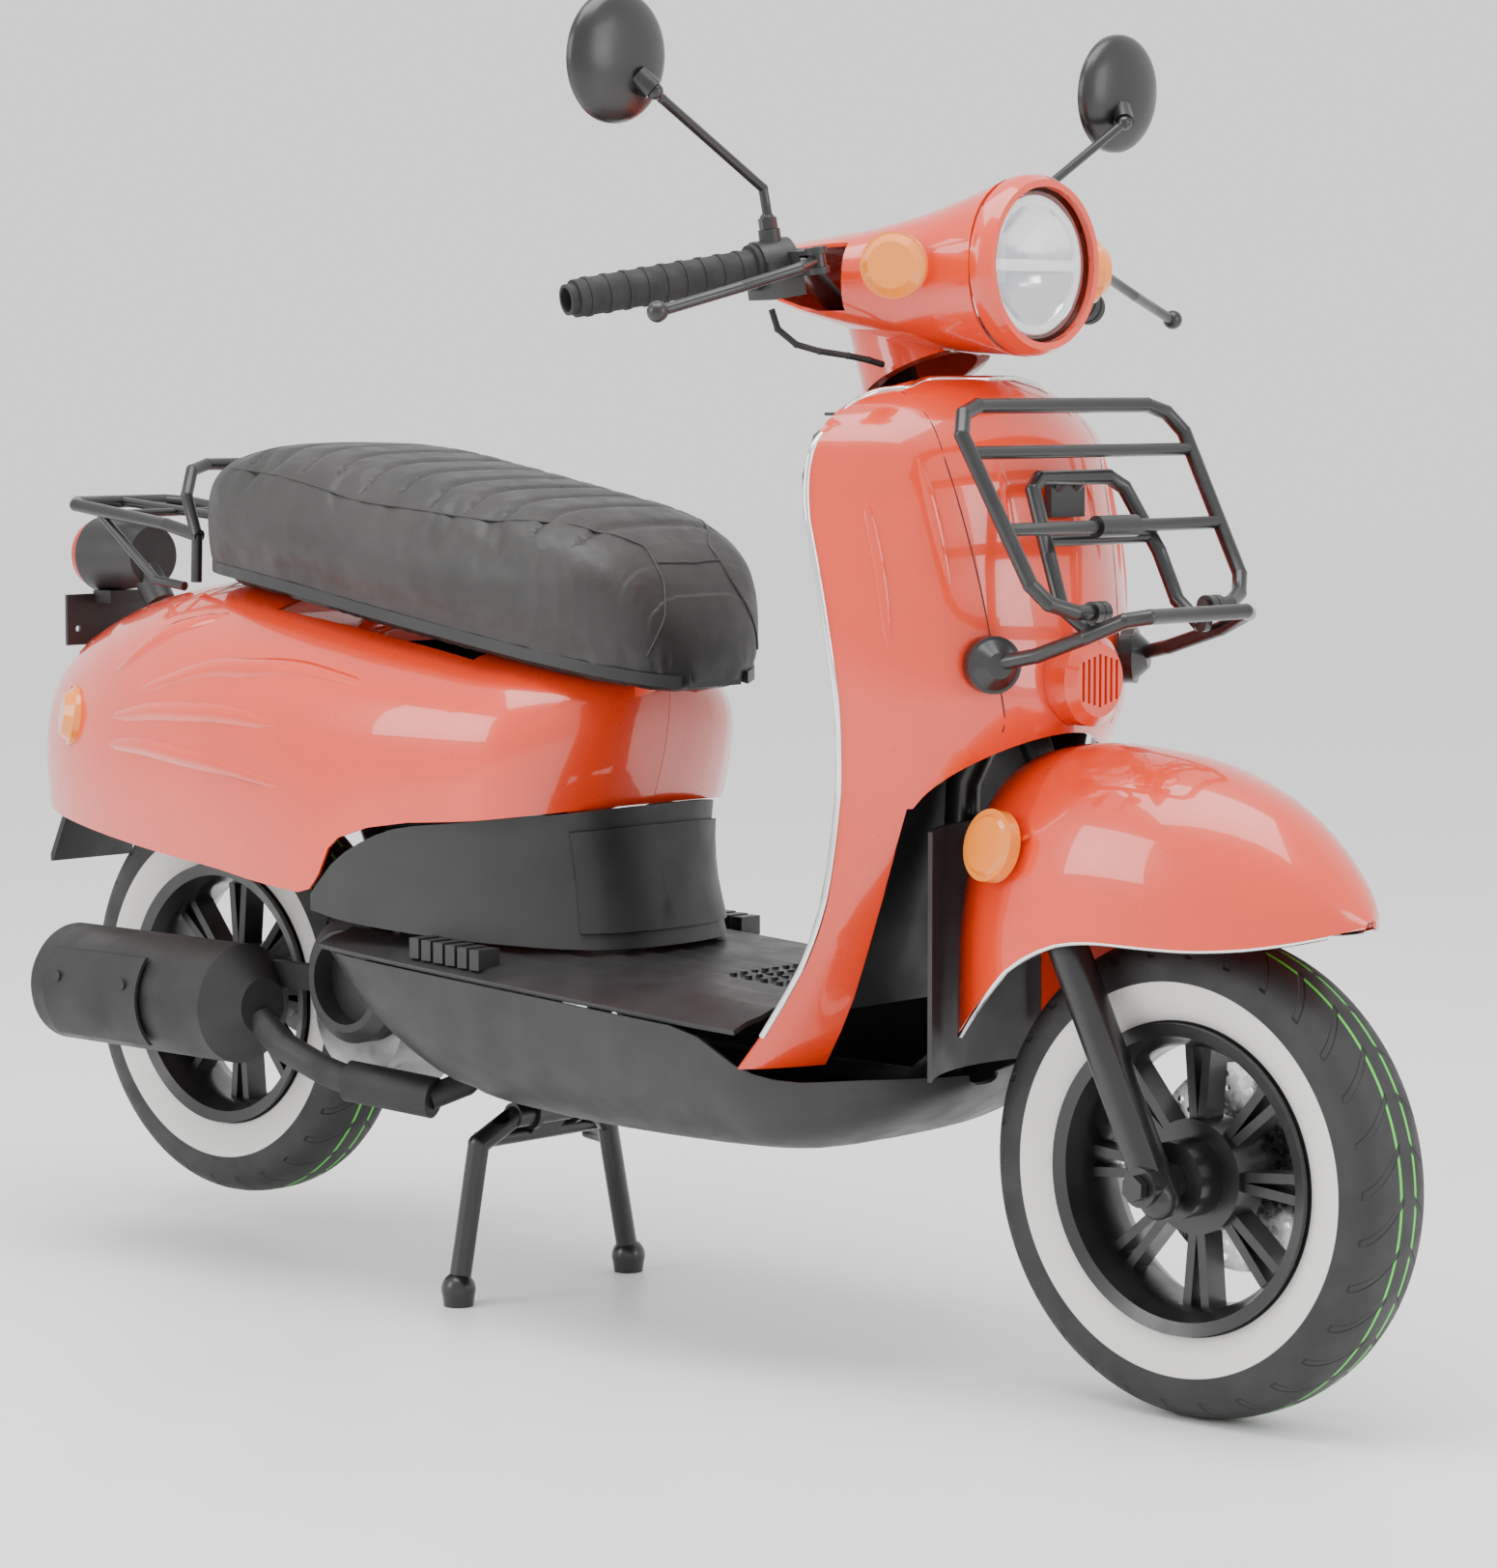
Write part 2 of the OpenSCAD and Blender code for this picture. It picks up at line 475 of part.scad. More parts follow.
// grip line on the right side, from the middle of the bar outwards
bar_mid = [fx - 395, 0, 994];
grip_in = [fx - 368, 196, 1027];
grip_dir = let (v = [-66, 178, -31]) v / norm(v);
bar_end = grip_in + grip_dir * (bar_width / 2 - grip_in[1]) / grip_dir[1];
grip_l = norm(bar_end - grip_in) - 8;
// frame on a bar half: Z runs outwards along the grip, X points forwards
module on_bar(side) placed() mirror([0, side < 0 ? 1 : 0, 0]) translate(grip_in)
    rotate([0, acos(grip_dir[2]), atan2(grip_dir[1], grip_dir[0])]) rotate([0, 0, 90])
    mirror([1, 0, 0]) children();
module handlebar() color(black) placed()
    tube_path(across([bar_end - grip_dir * 10, grip_in - grip_dir * 44, bar_mid + [4, 60, 2]]), bar_d);
// x from the front axle, half width, bottom height, top height
cowl_head = [[-474, 60, 1030, 1040], [-466, 92, 1018, 1046], [-446, 122, 1000, 1053], [-415, 136, 984, 1059],
    [-380, 132, 972, 1064], [-345, 116, 962, 1070], [-305, 98, 953, 1080], [-265, 87, 949, 1092], [-235, 82, 948, 1103],
    [-214, 81, 947, 1110]];
module head_solid(d) loft([for (k = concat(steps(d - 474, -446, 4), steps(-430, -214, 11), d > 0 ? [-208] : []))
    let (c = look(cowl_head, min(k, -214)), e = 0.86) [for (i = [0 : 35]) let (a = i * 10)
        [fx + k, -(c[1] - d) * sign(sin(a)) * pow(abs(sin(a)), e), (c[2] + c[3]) / 2
            - ((c[3] - c[2]) / 2 - d) * sign(cos(a)) * pow(abs(cos(a)), e)]]]);
module headset_cowl() color(orange) {
    placed() difference() {
        head_solid(0);
        head_solid(panel_t);
        // mouths where the bar leaves, and the way down for the stem
        both() translate([fx - 366, 160, 1020]) rotate([0, 0, -20]) cube([84, 110, 62], center = true);
        fork_frame_local() translate([neck_x, 0, 700]) cylinder(d = 98, h = 176);
    }
    // neck
    fork_frame() translate([neck_x, 0, 0]) difference() {
        translate([0, 0, head_s1 + 14]) cylinder(d1 = 124, d2 = 108, h = 70);
        translate([0, 0, head_s1]) cylinder(d = 98, h = 200);
    }
}
neck_x = 14;
lamp_c = [fx - 204, 1030];
module headlight_bezel() color(orange) placed() translate([lamp_c[0], 0, lamp_c[1]]) rotate([0, 90, 0]) difference() {
    union() {
        translate([0, 0, -8]) cylinder(d = 164, h = 12);
        translate([0, 0, 4]) cylinder(d1 = 164, d2 = 154, h = 10);
    }
    translate([0, 0, -4]) cylinder(d = lamp_d + 1, h = 30);
    translate([0, 0, -9]) cylinder(d = lamp_d - 10, h = 30);
}
module headlight_lens() color("#dfe6ea") placed() translate([lamp_c[0], 0, lamp_c[1]]) rotate([0, 90, 0]) {
    translate([0, 0, -4]) cylinder(d = lamp_d, h = 8);
    intersection() {
        translate([0, 0, -222]) sphere(r = 240, $fn = 96);
        translate([0, 0, 3.9]) cylinder(d = lamp_d - 0.5, h = 30);
    }
}
module front_indicator(side) color("#e58a3c") placed() mirror([0, side < 0 ? 1 : 0, 0])
    translate([fx - 272, 104, 1028]) rotate([-90, 0, -30]) {
        cylinder(d = 44, h = 34);
        translate([0, 0, 34]) cylinder(d = 60, h = 12);
        translate([0, 0, 46]) cylinder(d1 = 56, d2 = 42, h = 10);
    }
module front_indicator_right() front_indicator(-1);
module front_indicator_left() front_indicator(1);

// x from the front axle, half width, lower edge, crown
fender = [[-240, 60, 326, 520], [-228, 74, 330, 552], [-208, 86, 346, 574], [-180, 95, 372, 588], [-146, 101, 402, 596],
    [-100, 105, 424, 600], [-60, 105, 432, 598], [0, 101, 432, 590], [50, 92, 432, 574], [95, 77, 436, 550],
    [130, 59, 442, 520], [155, 40, 448, 492], [170, 20, 453, 470], [176, 7, 455, 461]];
module front_fender() color(orange) {
    difference() {
        placed() skin([for (k = concat(steps(-240, -208, 3), steps(-194, 95, 14), steps(112, 176, 7))) let (c = look(fender, k))
            [for (t = steps(-1, 1, 22)) arch(fx + k, c[1], c[1] + 1, c[2], lerp(c[2], c[3], 0.22), c[3], t, 0.2, 0.96)]],
            panel_t);
        fork_frame() translate([-fork_offset, 0, yoke_s + 60]) cylinder(d = stem_d + 4, h = 160);
        fork_frame() both() translate([0, fork_half, yoke_s - 1]) cylinder(d = fork_upper_d + 8.6, h = 28);
    }
    // straps to the yoke
    fork_frame() both() translate([-16, 32, yoke_s + 26.3]) cube([32, 64, 4]);
}
module fender_reflectors() color("#e58a1c") placed() both()
    translate([fx - 166, 94.6, 508]) rotate([-78, 0, 12]) {
        cylinder(d = 66, h = 12);
        translate([0, 0, 12]) cylinder(d1 = 56, d2 = 50, h = 3);
    }

// ---- controls -------------------------------------------------------------------------------
module switch_housing(side) color(black) on_bar(side) difference() {
    union() {
        translate([0, 0, -34]) cylinder(d = 46, h = 33.7);
        translate([-23, -30, -34]) cube([50, 34, 33.7]);
        // reservoir arm carrying the lever pivot
        translate([8, -12, -34]) cube([48, 22, 10]);
        translate([30, -12, -44]) cube([26, 22, 20]);
        translate([56, 0, -34]) rotate([90, 0, 0]) cylinder(d = 20, h = 24, center = true);
        // boss of the mirror
        translate([2, 0, -18]) rotate([-90, 0, 0]) cylinder(d = 20, h = 32);
    }
    translate([0, 0, -50]) cylinder(d = bar_d + 2 * run, h = 60);
    translate([56, 0, -34]) rotate([90, 0, 0]) cylinder(d = 7 + 2 * run, h = 60, center = true);
    translate([42, -6, -60]) cube([40, 12, 60]);
    translate([2, 33, -18]) rotate([90, 0, 0]) cylinder(d = 10 + 2 * run, h = 20);
    if (side < 0) translate([-12, -20, -14]) rotate([0, -90, 0]) cylinder(d = 11 + 2 * run, h = 20);
    if (side > 0) translate([-12, -20, -8]) rotate([0, -90, 0]) cylinder(d = 9 + 2 * run, h = 20);
    if (side > 0) translate([-28, -12, -30]) cube([14, 22, 10]);
}
module switch_housing_right() switch_housing(-1);
module switch_housing_left() switch_housing(1);
module grip_body(bore) difference() {
    union() {
        cylinder(d = grip_d, h = grip_l);
        cylinder(d = grip_d + 8, h = 5);
        translate([0, 0, grip_l]) cylinder(d = grip_d - 6, h = 8);
        for (i = [0 : 8]) translate([0, 0, 16 + i * (grip_l - 30) / 8]) cylinder(d = grip_d + 2, h = 4);
    }
    translate([0, 0, -1]) cylinder(d = bore, h = grip_l + 20);
}
module throttle_grip() color("#2a2a2b") on_bar(-1) grip_body(bar_d + 2 * run);
module grip_left() color("#2a2a2b") on_bar(1) grip_body(bar_d + 2 * run);
module brake_lever(side) color(black) on_bar(side) difference() {
    union() {
        translate([56, 0, -34]) rotate([90, 0, 0]) cylinder(d = 16, h = 11.4, center = true);
        tube_path([[58, 0, -31], [78, -3, -4], [86, -10, 60], [97, -18, 146]], 10);
        translate([98, -18, 150]) sphere(d = 19, $fn = 48);
        rod([56, 0, -34], [48, 0, -22], 9);
    }
    translate([56, 0, -34]) rotate([90, 0, 0]) cylinder(d = 7 - 2 * run, h = 60, center = true);
}
module brake_lever_right() brake_lever(-1);
module brake_lever_left() brake_lever(1);
module start_button() color("#c33b2e") on_bar(-1)
    translate([-16, -20, -14]) rotate([0, -90, 0]) cylinder(d = 11, h = 12);
module horn_button() color("#d8c23a") on_bar(1)
    translate([-16, -20, -8]) rotate([0, -90, 0]) cylinder(d = 9, h = 12);
module signal_switch() color("#8c8f92") on_bar(1) translate([-27, -5, -29.5]) cube([12, 8, 9]);

module mirror_stem(side) color(black) {
    on_bar(side) translate([2, 0, -18]) rotate([-90, 0, 0]) {
        translate([0, 0, 16]) cylinder(d = 10, h = 26);
        translate([0, 0, 32.3]) cylinder(d = 17, h = 10, $fn = 6);
        translate([0, 0, 40]) sphere(d = 15, $fn = 32);
    }
    placed() mirror([0, side < 0 ? 1 : 0, 0])
        tube_path([mirror_foot, mirror_foot + [-4, 4, 34], mirror_ball - [1, 10, 6], mirror_ball], 9);
    placed() mirror([0, side < 0 ? 1 : 0, 0]) translate(mirror_ball) sphere(d = 15, $fn = 48);
}
mirror_foot = grip_in + [8, -10, 37];
mirror_ball = [fx - 362, 332, 1178];
module mirror_stem_right() mirror_stem(-1);
module mirror_stem_left() mirror_stem(1);
module mirror_head(side) color(black) placed() mirror([0, side < 0 ? 1 : 0, 0]) {
    translate(mirror_ball + [-26, 22, 30]) rotate([0, -86, 0]) {
        difference() {
            scale([1, 1, 0.34]) sphere(d = 116, $fn = 64);
            cylinder(d = 200, h = 100);
        }
        cylinder(d = 116, h = 4);
    }
    difference() {
        rod(mirror_ball + [-1, 1, 1], mirror_ball + [-12, 10, 14], 20);
        translate(mirror_ball) sphere(d = 15.3, $fn = 48);
        translate(mirror_ball) rod([0, 0, 0], [2, -16, -10], 15.4);
    }
}
module mirror_head_right() mirror_head(-1);
module mirror_head_left() mirror_head(1);
cable_pts = [[fx - 372, -170, 990], [fx - 368, -166, 972], [fx - 356, -154, 958], [fx - 344, -136, 952],
    [fx - 334, -108, 948], [fx - 328, -86, 944], [fx - 325, -70, 940]];
module throttle_cable() color(black) placed() tube_path(cable_pts, 6, 0.8);

// ---- front wheel and fork ---------------------------------------------------------------------
module fork_lowers() color(black) fork_frame() difference() {
    union() {
        both() translate([0, fork_half, -14]) cylinder(d = fork_lower_d, h = 250);
        both() translate([0, fork_half, -14]) sphere(d = fork_lower_d - 0.4, $fn = 48);
        both() translate([0, fork_half, 0]) y_cyl(36, fork_lower_d + 8);
        y_cyl(axle_d, 2 * fork_half + 64);
        both() translate([0, fork_half + 28, 0]) rotate([90, 0, 0]) cylinder(d = 24, h = 9, center = true, $fn = 6);
        // caliper lug
        translate([-46, fork_half - 4, 20]) cube([34, 10, 60]);
    }
    both() translate([0, fork_half, 60]) cylinder(d = fork_upper_d + 2 * run, h = 300);
}
module brake_caliper() color("#2b2b2d") fork_frame() difference() {
    translate([-90, 34, 24]) cube([46, 36.7, 54]);
    translate([0, disc_y, 0]) y_cyl(disc_d + 3, 9);
}
module disc_holes(r, n, d) for (i = [0 : n - 1]) rotate([0, 0, i * 360 / n]) translate([r, 0, -5]) cylinder(d = d, h = 10);
disc_y = 50;
module brake_disc() color(steel) placed() translate([fx, disc_y, tyre_r]) rotate([90, 0, 0]) difference() {
    cylinder(d = disc_d, h = 4, center = true);
    cylinder(d = 70.6, h = 10, center = true);
    disc_holes(disc_d / 2 - 10, 18, 7);
    disc_holes(disc_d / 2 - 23, 18, 6);
}
module rim(hub_w) difference() {
    union() {
        rotate_extrude() polygon([[rim_od / 2 - 22, -20], [rim_od / 2 - 12, -41], [rim_od / 2, -45], [rim_od / 2, -39],
            [rim_od / 2 - 8, -35], [rim_od / 2 - 16, -18], [rim_od / 2 - 16, 18], [rim_od / 2 - 8, 35], [rim_od / 2, 39],
            [rim_od / 2, 45], [rim_od / 2 - 12, 41], [rim_od / 2 - 22, 20]]);
        cylinder(d = 70, h = hub_w, center = true);
        cylinder(d = 104, h = 40, center = true);
        for (i = [0 : spoke_pairs - 1]) for (g = [-1, 1]) rotate([0, 0, i * 360 / spoke_pairs + g * 8])
            rotate([0, 0, -g * 3]) translate([44, -4.5, -13]) cube([rim_od / 2 - 44 - 18, 9, 26]);
    }
    cylinder(d = axle_d + 2 * run, h = 300, center = true);
}
module tyre() rotate_extrude($fn = 128) polygon(concat([[rim_od / 2 - 6, -33]],
    [for (a = steps(-90, 90, 20)) [tyre_r - 46 + 46 * pow(max(cos(a), 0), 0.55),
        tyre_w / 2 * sign(a) * pow(abs(sin(a)), 0.8)]], [[rim_od / 2 - 6, 33]],
    [[rim_od / 2 - 6, 30], [tyre_r - 22, 36], [tyre_r - 14, 0], [tyre_r - 22, -36], [rim_od / 2 - 6, -30]]));
module front_rim() color(black) placed() translate([fx, 0, tyre_r]) rotate([90, 0, 0]) rim(104);
module front_tyre() color("#242425") placed() translate([fx, 0, tyre_r]) rotate([90, 0, 0]) tyre();

// ---- engine, rear wheel and exhaust --------------------------------------------------------------
hub = [rx, rear_hub_z];
module engine_case() color("#8d9093") placed() difference() {
    union() {
        // belt case on the left
        hull() {
            translate([hub[0] + 10, 92, hub[1] + 6]) y_cyl(120, 44);
            translate([-345, 92, 292]) y_cyl(150, 44);
        }
        // crank case and cylinder
        translate([-345, -20, 282]) y_cyl(132, 190);
        translate([-345, -60, 240]) y_cyl(84, 70);
        translate([-300, -45, 262]) cube([90, 90, 56]);
        // arm of the pivot
        hull() {
            translate([pivot[0], 0, pivot[1]]) y_cyl(30, 228);
            translate([-330, 0, 300]) y_cyl(40, 180);
        }
        // shock lug
        hull() {
            translate([shock_low[0], shock_y - 12, shock_low[1]]) y_cyl(20, 8);
            translate([shock_low[0], shock_y - 12, shock_low[1] - 34]) y_cyl(40, 8);
        }
        translate([hub[0], 40, hub[1]]) y_cyl(axle_d, 210);
        translate([hub[0], -66.5, hub[1]]) rotate([90, 0, 0]) cylinder(d = 24, h = 12, center = true, $fn = 6);
        translate([shock_low[0], shock_y - 2, shock_low[1]]) y_cyl(10, 24);
        translate([hub[0], 64, hub[1]]) y_cyl(40, 14);
    }
    translate([pivot[0], 0, pivot[1]]) y_cyl(12 + 2 * run, 300);
}
module fan_cover() color(black) placed() translate([-330, -116, 318]) rotate([90, 0, 0]) difference() {
    union() {
        cylinder(d = 128, h = 24);
        translate([0, 0, 24]) cylinder(d1 = 128, d2 = 104, h = 10);
    }
    translate([0, 0, 10]) cylinder(d = 88, h = 40);
}
module exhaust() color(black) placed() {
    y = -162;
    translate([rx - 104, y, 284]) rotate([0, 90, 0]) {
        cylinder(d1 = 106, d2 = 124, h = 12);
        translate([0, 0, 12]) cylinder(d = 124, h = 272);
        translate([0, 0, 284]) cylinder(d1 = 124, d2 = 58, h = 30);
    }
    tube_path([[rx + 205, y, 270], [rx + 240, y, 246], [rx + 300, y + 4, 226], [rx + 330, y + 10, 218]], 30);
    tube_path([[rx + 330, y + 10, 218], [rx + 420, -118, 206]], 42);
    tube_path([[rx + 415, -120, 206], [-216, -88, 219], [-216, -50, 240]], 26);
    // heat shield and bracket
    intersection() {
        translate([rx - 62, y, 284]) rotate([0, 90, 0]) difference() {
            cylinder(d = 138, h = 150);
            translate([0, 0, -1]) cylinder(d = 131, h = 152);
        }
        translate([rx - 90, y - 80, 236]) cube([240, 40, 92]);
    }
    for (p = [[rx - 40, 300], [rx + 66, 300]]) translate([p[0], y - 64, p[1]]) y_cyl(12, 12);
    translate([rx + 150, -133.3, 270]) cube([22, 18, 60]);
    translate([rx + 150, -129.3, 300]) cube([100, 14, 26]);
}
module rear_rim() color(black) placed() translate([hub[0], 0, hub[1]]) rotate([90, 0, 0]) rim(110);
module rear_tyre() color("#242425") placed() translate([hub[0], 0, hub[1]]) rotate([90, 0, 0]) tyre();

// ---- stands and shock ---------------------------------------------------------------------------
stand_foot = [-192, 17];
module centre_stand() color(black) placed() difference() {
    union() {
        translate([stand_pivot[0], 0, stand_pivot[1]]) y_cyl(26, 53.4);
        both() translate([stand_pivot[0], 44.65, stand_pivot[1]]) y_cyl(26, 22.7);
        hull() {
            translate([stand_pivot[0], 0, stand_pivot[1]]) y_cyl(18, 40);
            translate([stand_pivot[0] - 20, 0, stand_pivot[1] - 24]) y_cyl(14, 40);
        }
        both() tube_path([[stand_pivot[0], 52, stand_pivot[1]], [stand_pivot[0] - 12, 92, stand_pivot[1] - 26],
            [stand_foot[0], stand_half, stand_foot[1]]], stand_d);
        translate([stand_pivot[0] - 20, 0, stand_pivot[1] - 24]) y_cyl(stand_d - 4, 170);
        both() translate([stand_foot[0], stand_half, 0]) cylinder(d1 = 30, d2 = 34, h = 14);
        both() translate([stand_foot[0], stand_half, 17]) sphere(d = 35, $fn = 48);
        // tang for the rider's heel
        tube_path([[stand_pivot[0] - 14, 96, stand_pivot[1] - 40], [stand_pivot[0] - 50, 130, stand_pivot[1] - 52],
            [stand_pivot[0] - 86, 136, stand_pivot[1] - 50]], 12);
    }
    translate([stand_pivot[0], 0, stand_pivot[1]]) y_cyl(14 + 2 * run, 200);
    translate([stand_foot[0] - 60, -200, -60]) cube([120, 400, 60]);
}
module side_stand() color("#8a8d90") placed() {
    translate(side_pivot) y_cyl(22, 12);
    translate(side_pivot) translate([0, -6, 0]) y_cyl(10, 22);
    tube_path([side_pivot + [-4, 2, -1], side_pivot + [-100, 5, -32], side_pivot + [-186, 8, -50]], 15);
    translate(side_pivot + [-190, 9, -51]) cube([8, 24, 34], center = true);
}
shock_v = [shock_top[0] - shock_low[0], 0, shock_top[1] - shock_low[1]];
shock_len = norm(shock_v);
module shock_frame() placed() translate([shock_low[0], shock_y, shock_low[1]])
    rotate([0, atan2(shock_v[0], shock_v[2]), 0]) children();
module shock_body() color(black) shock_frame() difference() {
    union() {
        translate([0, 0, shock_len]) y_cyl(26, 18);
        translate([0, 0, shock_len - 110]) cylinder(d = 30, h = 94);
        translate([0, 0, shock_len - 20]) cylinder(d = 18, h = 12);
        translate([0, 0, shock_len - 26]) cylinder(d = 50, h = 6);
    }
    translate([0, 0, shock_len]) y_cyl(12 + 2 * run, 60);
    cylinder(d = 12 + 2 * run, h = shock_len - 30);
}
module shock_rod() color(steel) shock_frame() difference() {
    union() {
        y_cyl(28, 11);
        translate([0, 0, 10]) cylinder(d = 12, h = 126);
        translate([0, 0, 22]) cylinder(d = 50, h = 6);
    }
    // the bush hole leaves room for the arc of the swinging engine
    y_cyl(18, 60);
}
module shock_spring() color("#c0392b") shock_frame() translate([0, 0, 28.5]) difference() {
    cylinder(d = 48, h = shock_len - 26 - 29);
    translate([0, 0, -1]) cylinder(d = 36, h = shock_len);
}
module ignition_key() color(steel) placed() {
    translate([fx - 345, 0, 770]) x_cyl(26, 44);
    translate([fx - 376, -1.5, 757]) cube([20, 3, 26]);
}

frame_tubes();
rear_cowl();
belly_pan();
floorboard();
leg_shield();
inner_shield();
side_panel();
access_cover();
storage_bucket();
rear_rack();
tail_housing();
tail_lens();
mudflap();
rear_indicators();
horn_cover();
front_carrier();
wheel_well();
ignition_key();
seat_cushion();
seat_pan();
steering_stem();
handlebar();
headset_cowl();
headlight_bezel();
headlight_lens();
front_indicator_right();
front_indicator_left();
front_fender();
fender_reflectors();
switch_housing_right();
switch_housing_left();
grip_left();
throttle_cable();
fork_lowers();
brake_caliper();
front_rim();
front_tyre();
brake_disc();
throttle_grip();
brake_lever_right();
brake_lever_left();
mirror_stem_right();
mirror_stem_left();
mirror_head_right();
mirror_head_left();
front_rack_grid();
start_button();
horn_button();
signal_switch();
engine_case();
fan_cover();
exhaust();
rear_rim();
rear_tyre();
centre_stand();
side_stand();
shock_body();
shock_rod();
shock_spring();
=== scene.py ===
import math

import bmesh
import bpy
import json
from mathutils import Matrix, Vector


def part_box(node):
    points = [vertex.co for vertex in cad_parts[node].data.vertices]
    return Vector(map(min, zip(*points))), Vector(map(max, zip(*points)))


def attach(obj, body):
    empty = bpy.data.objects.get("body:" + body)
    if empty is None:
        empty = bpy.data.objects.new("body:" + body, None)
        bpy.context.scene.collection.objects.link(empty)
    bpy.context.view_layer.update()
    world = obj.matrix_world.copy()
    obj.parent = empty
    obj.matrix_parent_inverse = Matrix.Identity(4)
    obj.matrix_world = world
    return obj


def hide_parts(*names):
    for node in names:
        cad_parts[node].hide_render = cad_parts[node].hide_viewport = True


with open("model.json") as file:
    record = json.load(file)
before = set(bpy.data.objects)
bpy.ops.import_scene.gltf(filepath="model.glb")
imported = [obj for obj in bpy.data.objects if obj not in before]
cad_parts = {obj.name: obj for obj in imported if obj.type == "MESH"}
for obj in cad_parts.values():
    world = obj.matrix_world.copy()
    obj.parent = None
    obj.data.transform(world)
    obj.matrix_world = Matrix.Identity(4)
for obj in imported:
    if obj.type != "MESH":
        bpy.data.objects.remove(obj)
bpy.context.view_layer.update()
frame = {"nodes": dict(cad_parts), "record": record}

# ---- Camera, floor and light ---------------------------------------------------------------
# A long lens at headlamp height, ahead of the front wheel on the right side of the scooter.
# The studio is a white sweep with one large overhead box, a side box and a low fill.
bpy.ops.object.camera_add(location=(3.1255, -3.232, 0.926), rotation=(math.radians(84.93), 0, math.radians(42.83)))
camera = bpy.context.object
camera.data.sensor_fit = "HORIZONTAL"
camera.data.sensor_width = 36
camera.data.lens = 109.5
bpy.context.scene.camera = camera

bpy.ops.mesh.primitive_plane_add(size=1)
sweep = bpy.context.object
sweep.name = "studio_floor"
sweep.scale = (40, 40, 1)
bpy.ops.object.transform_apply(scale=True)

world = bpy.data.worlds.new("studio")
bpy.context.scene.world = world
world.use_nodes = True
world.node_tree.nodes["Background"].inputs["Color"].default_value = (1, 1, 1, 1)
world.node_tree.nodes["Background"].inputs["Strength"].default_value = 1.25


def softbox(name, where, aim, wide, high, watts):
    bpy.ops.object.light_add(type="AREA", location=where)
    box = bpy.context.object
    box.name = name
    box.data.shape = "RECTANGLE"
    box.data.size, box.data.size_y = wide, high
    box.data.energy = watts
    box.rotation_euler = (Vector(aim) - Vector(where)).to_track_quat("-Z", "Y").to_euler()


softbox("overhead_box", (0.4, -0.6, 3.6), (0, 0, 0.5), 3.4, 2.2, 130)
softbox("side_box", (-1.6, -3.6, 2.0), (-0.2, 0, 0.6), 1.6, 2.2, 60)
softbox("front_fill", (4.2, 0.8, 1.6), (0.4, 0, 0.7), 1.6, 2.0, 45)


class Wire:
    """One socket of a finish, so that the maths on it reads as it is written."""

    def __init__(self, finish, socket):
        self.finish = finish
        self.socket = socket

    def maths(self, operation, first, second=0.0):
        return self.finish.node("ShaderNodeMath", {"operation": operation}, {0: first, 1: second})

    def __add__(self, other):
        return self.maths("ADD", self, other)

    def __sub__(self, other):
        return self.maths("SUBTRACT", self, other)

    def __rsub__(self, other):
        return self.maths("SUBTRACT", other, self)

    def __mul__(self, other):
        return self.maths("MULTIPLY", self, other)

    __radd__ = __add__
    __rmul__ = __mul__


class Finish:
    """A material under construction: its shader, and the nodes that vary it over the surface."""

    def __init__(self, name, **sockets):
        self.material = bpy.data.materials.new(name)
        self.material.use_nodes = True
        self.tree = self.material.node_tree
        self.shader = self.tree.nodes["Principled BSDF"]
        for socket, value in sockets.items():
            self.shader.inputs[socket.replace("_", " ")].default_value = value

    def node(self, kind, settings=(), sockets=(), output=0):
        made = self.tree.nodes.new(kind)
        for setting, value in dict(settings).items():
            setattr(made, setting, value)
        for socket, value in dict(sockets).items():
            if isinstance(value, Wire):
                self.tree.links.new(value.socket, made.inputs[socket])
            else:
                made.inputs[socket].default_value = value
        return Wire(self, made.outputs[output])

    def place(self):
        return self.node("ShaderNodeTexCoord", output="Object")

    def noise(self, scale, detail=3.0):
        return self.node("ShaderNodeTexNoise", sockets={"Vector": self.place(), "Scale": scale, "Detail": detail})

    def between(self, value, low, high, out_low=0.0, out_high=1.0):
        sockets = {"Value": value, "From Min": low, "From Max": high, "To Min": out_low, "To Max": out_high}
        return self.node("ShaderNodeMapRange", {"interpolation_type": "SMOOTHSTEP"}, sockets)

    def blend(self, amount, first, second):
        return self.node("ShaderNodeMix", {"data_type": "RGBA"}, {0: amount, 6: first, 7: second}, output=2)

    def feed(self, **wires):
        for socket, wire in wires.items():
            self.tree.links.new(wire.socket, self.shader.inputs[socket.replace("_", " ")])

    def bump(self, height, distance, strength=1.0):
        sockets = {"Height": height, "Distance": distance, "Strength": strength}
        self.feed(Normal=self.node("ShaderNodeBump", sockets=sockets))


floor_finish = Finish("studio_white", Base_Color=(0.97, 0.97, 0.97, 1), Roughness=0.42)
floor_finish.feed(Roughness=floor_finish.between(floor_finish.noise(3), 0.3, 0.7, 0.36, 0.46))
sweep.data.materials.append(floor_finish.material)

# ---- Painted panels ------------------------------------------------------------------------
# The rear cowl, leg shield, horn cover, handlebar cover, lamp rim and front fender are moulded
# plastic in coral orange lacquer under a clear coat, with the faint ripple of sprayed paint.
body_of_node = {node: body for body, nodes in frame["record"]["behaviour"]["bodies"].items() for node in nodes}


def only(obj):
    for other in bpy.context.selected_objects:
        other.select_set(False)
    obj.select_set(True)
    bpy.context.view_layer.objects.active = obj


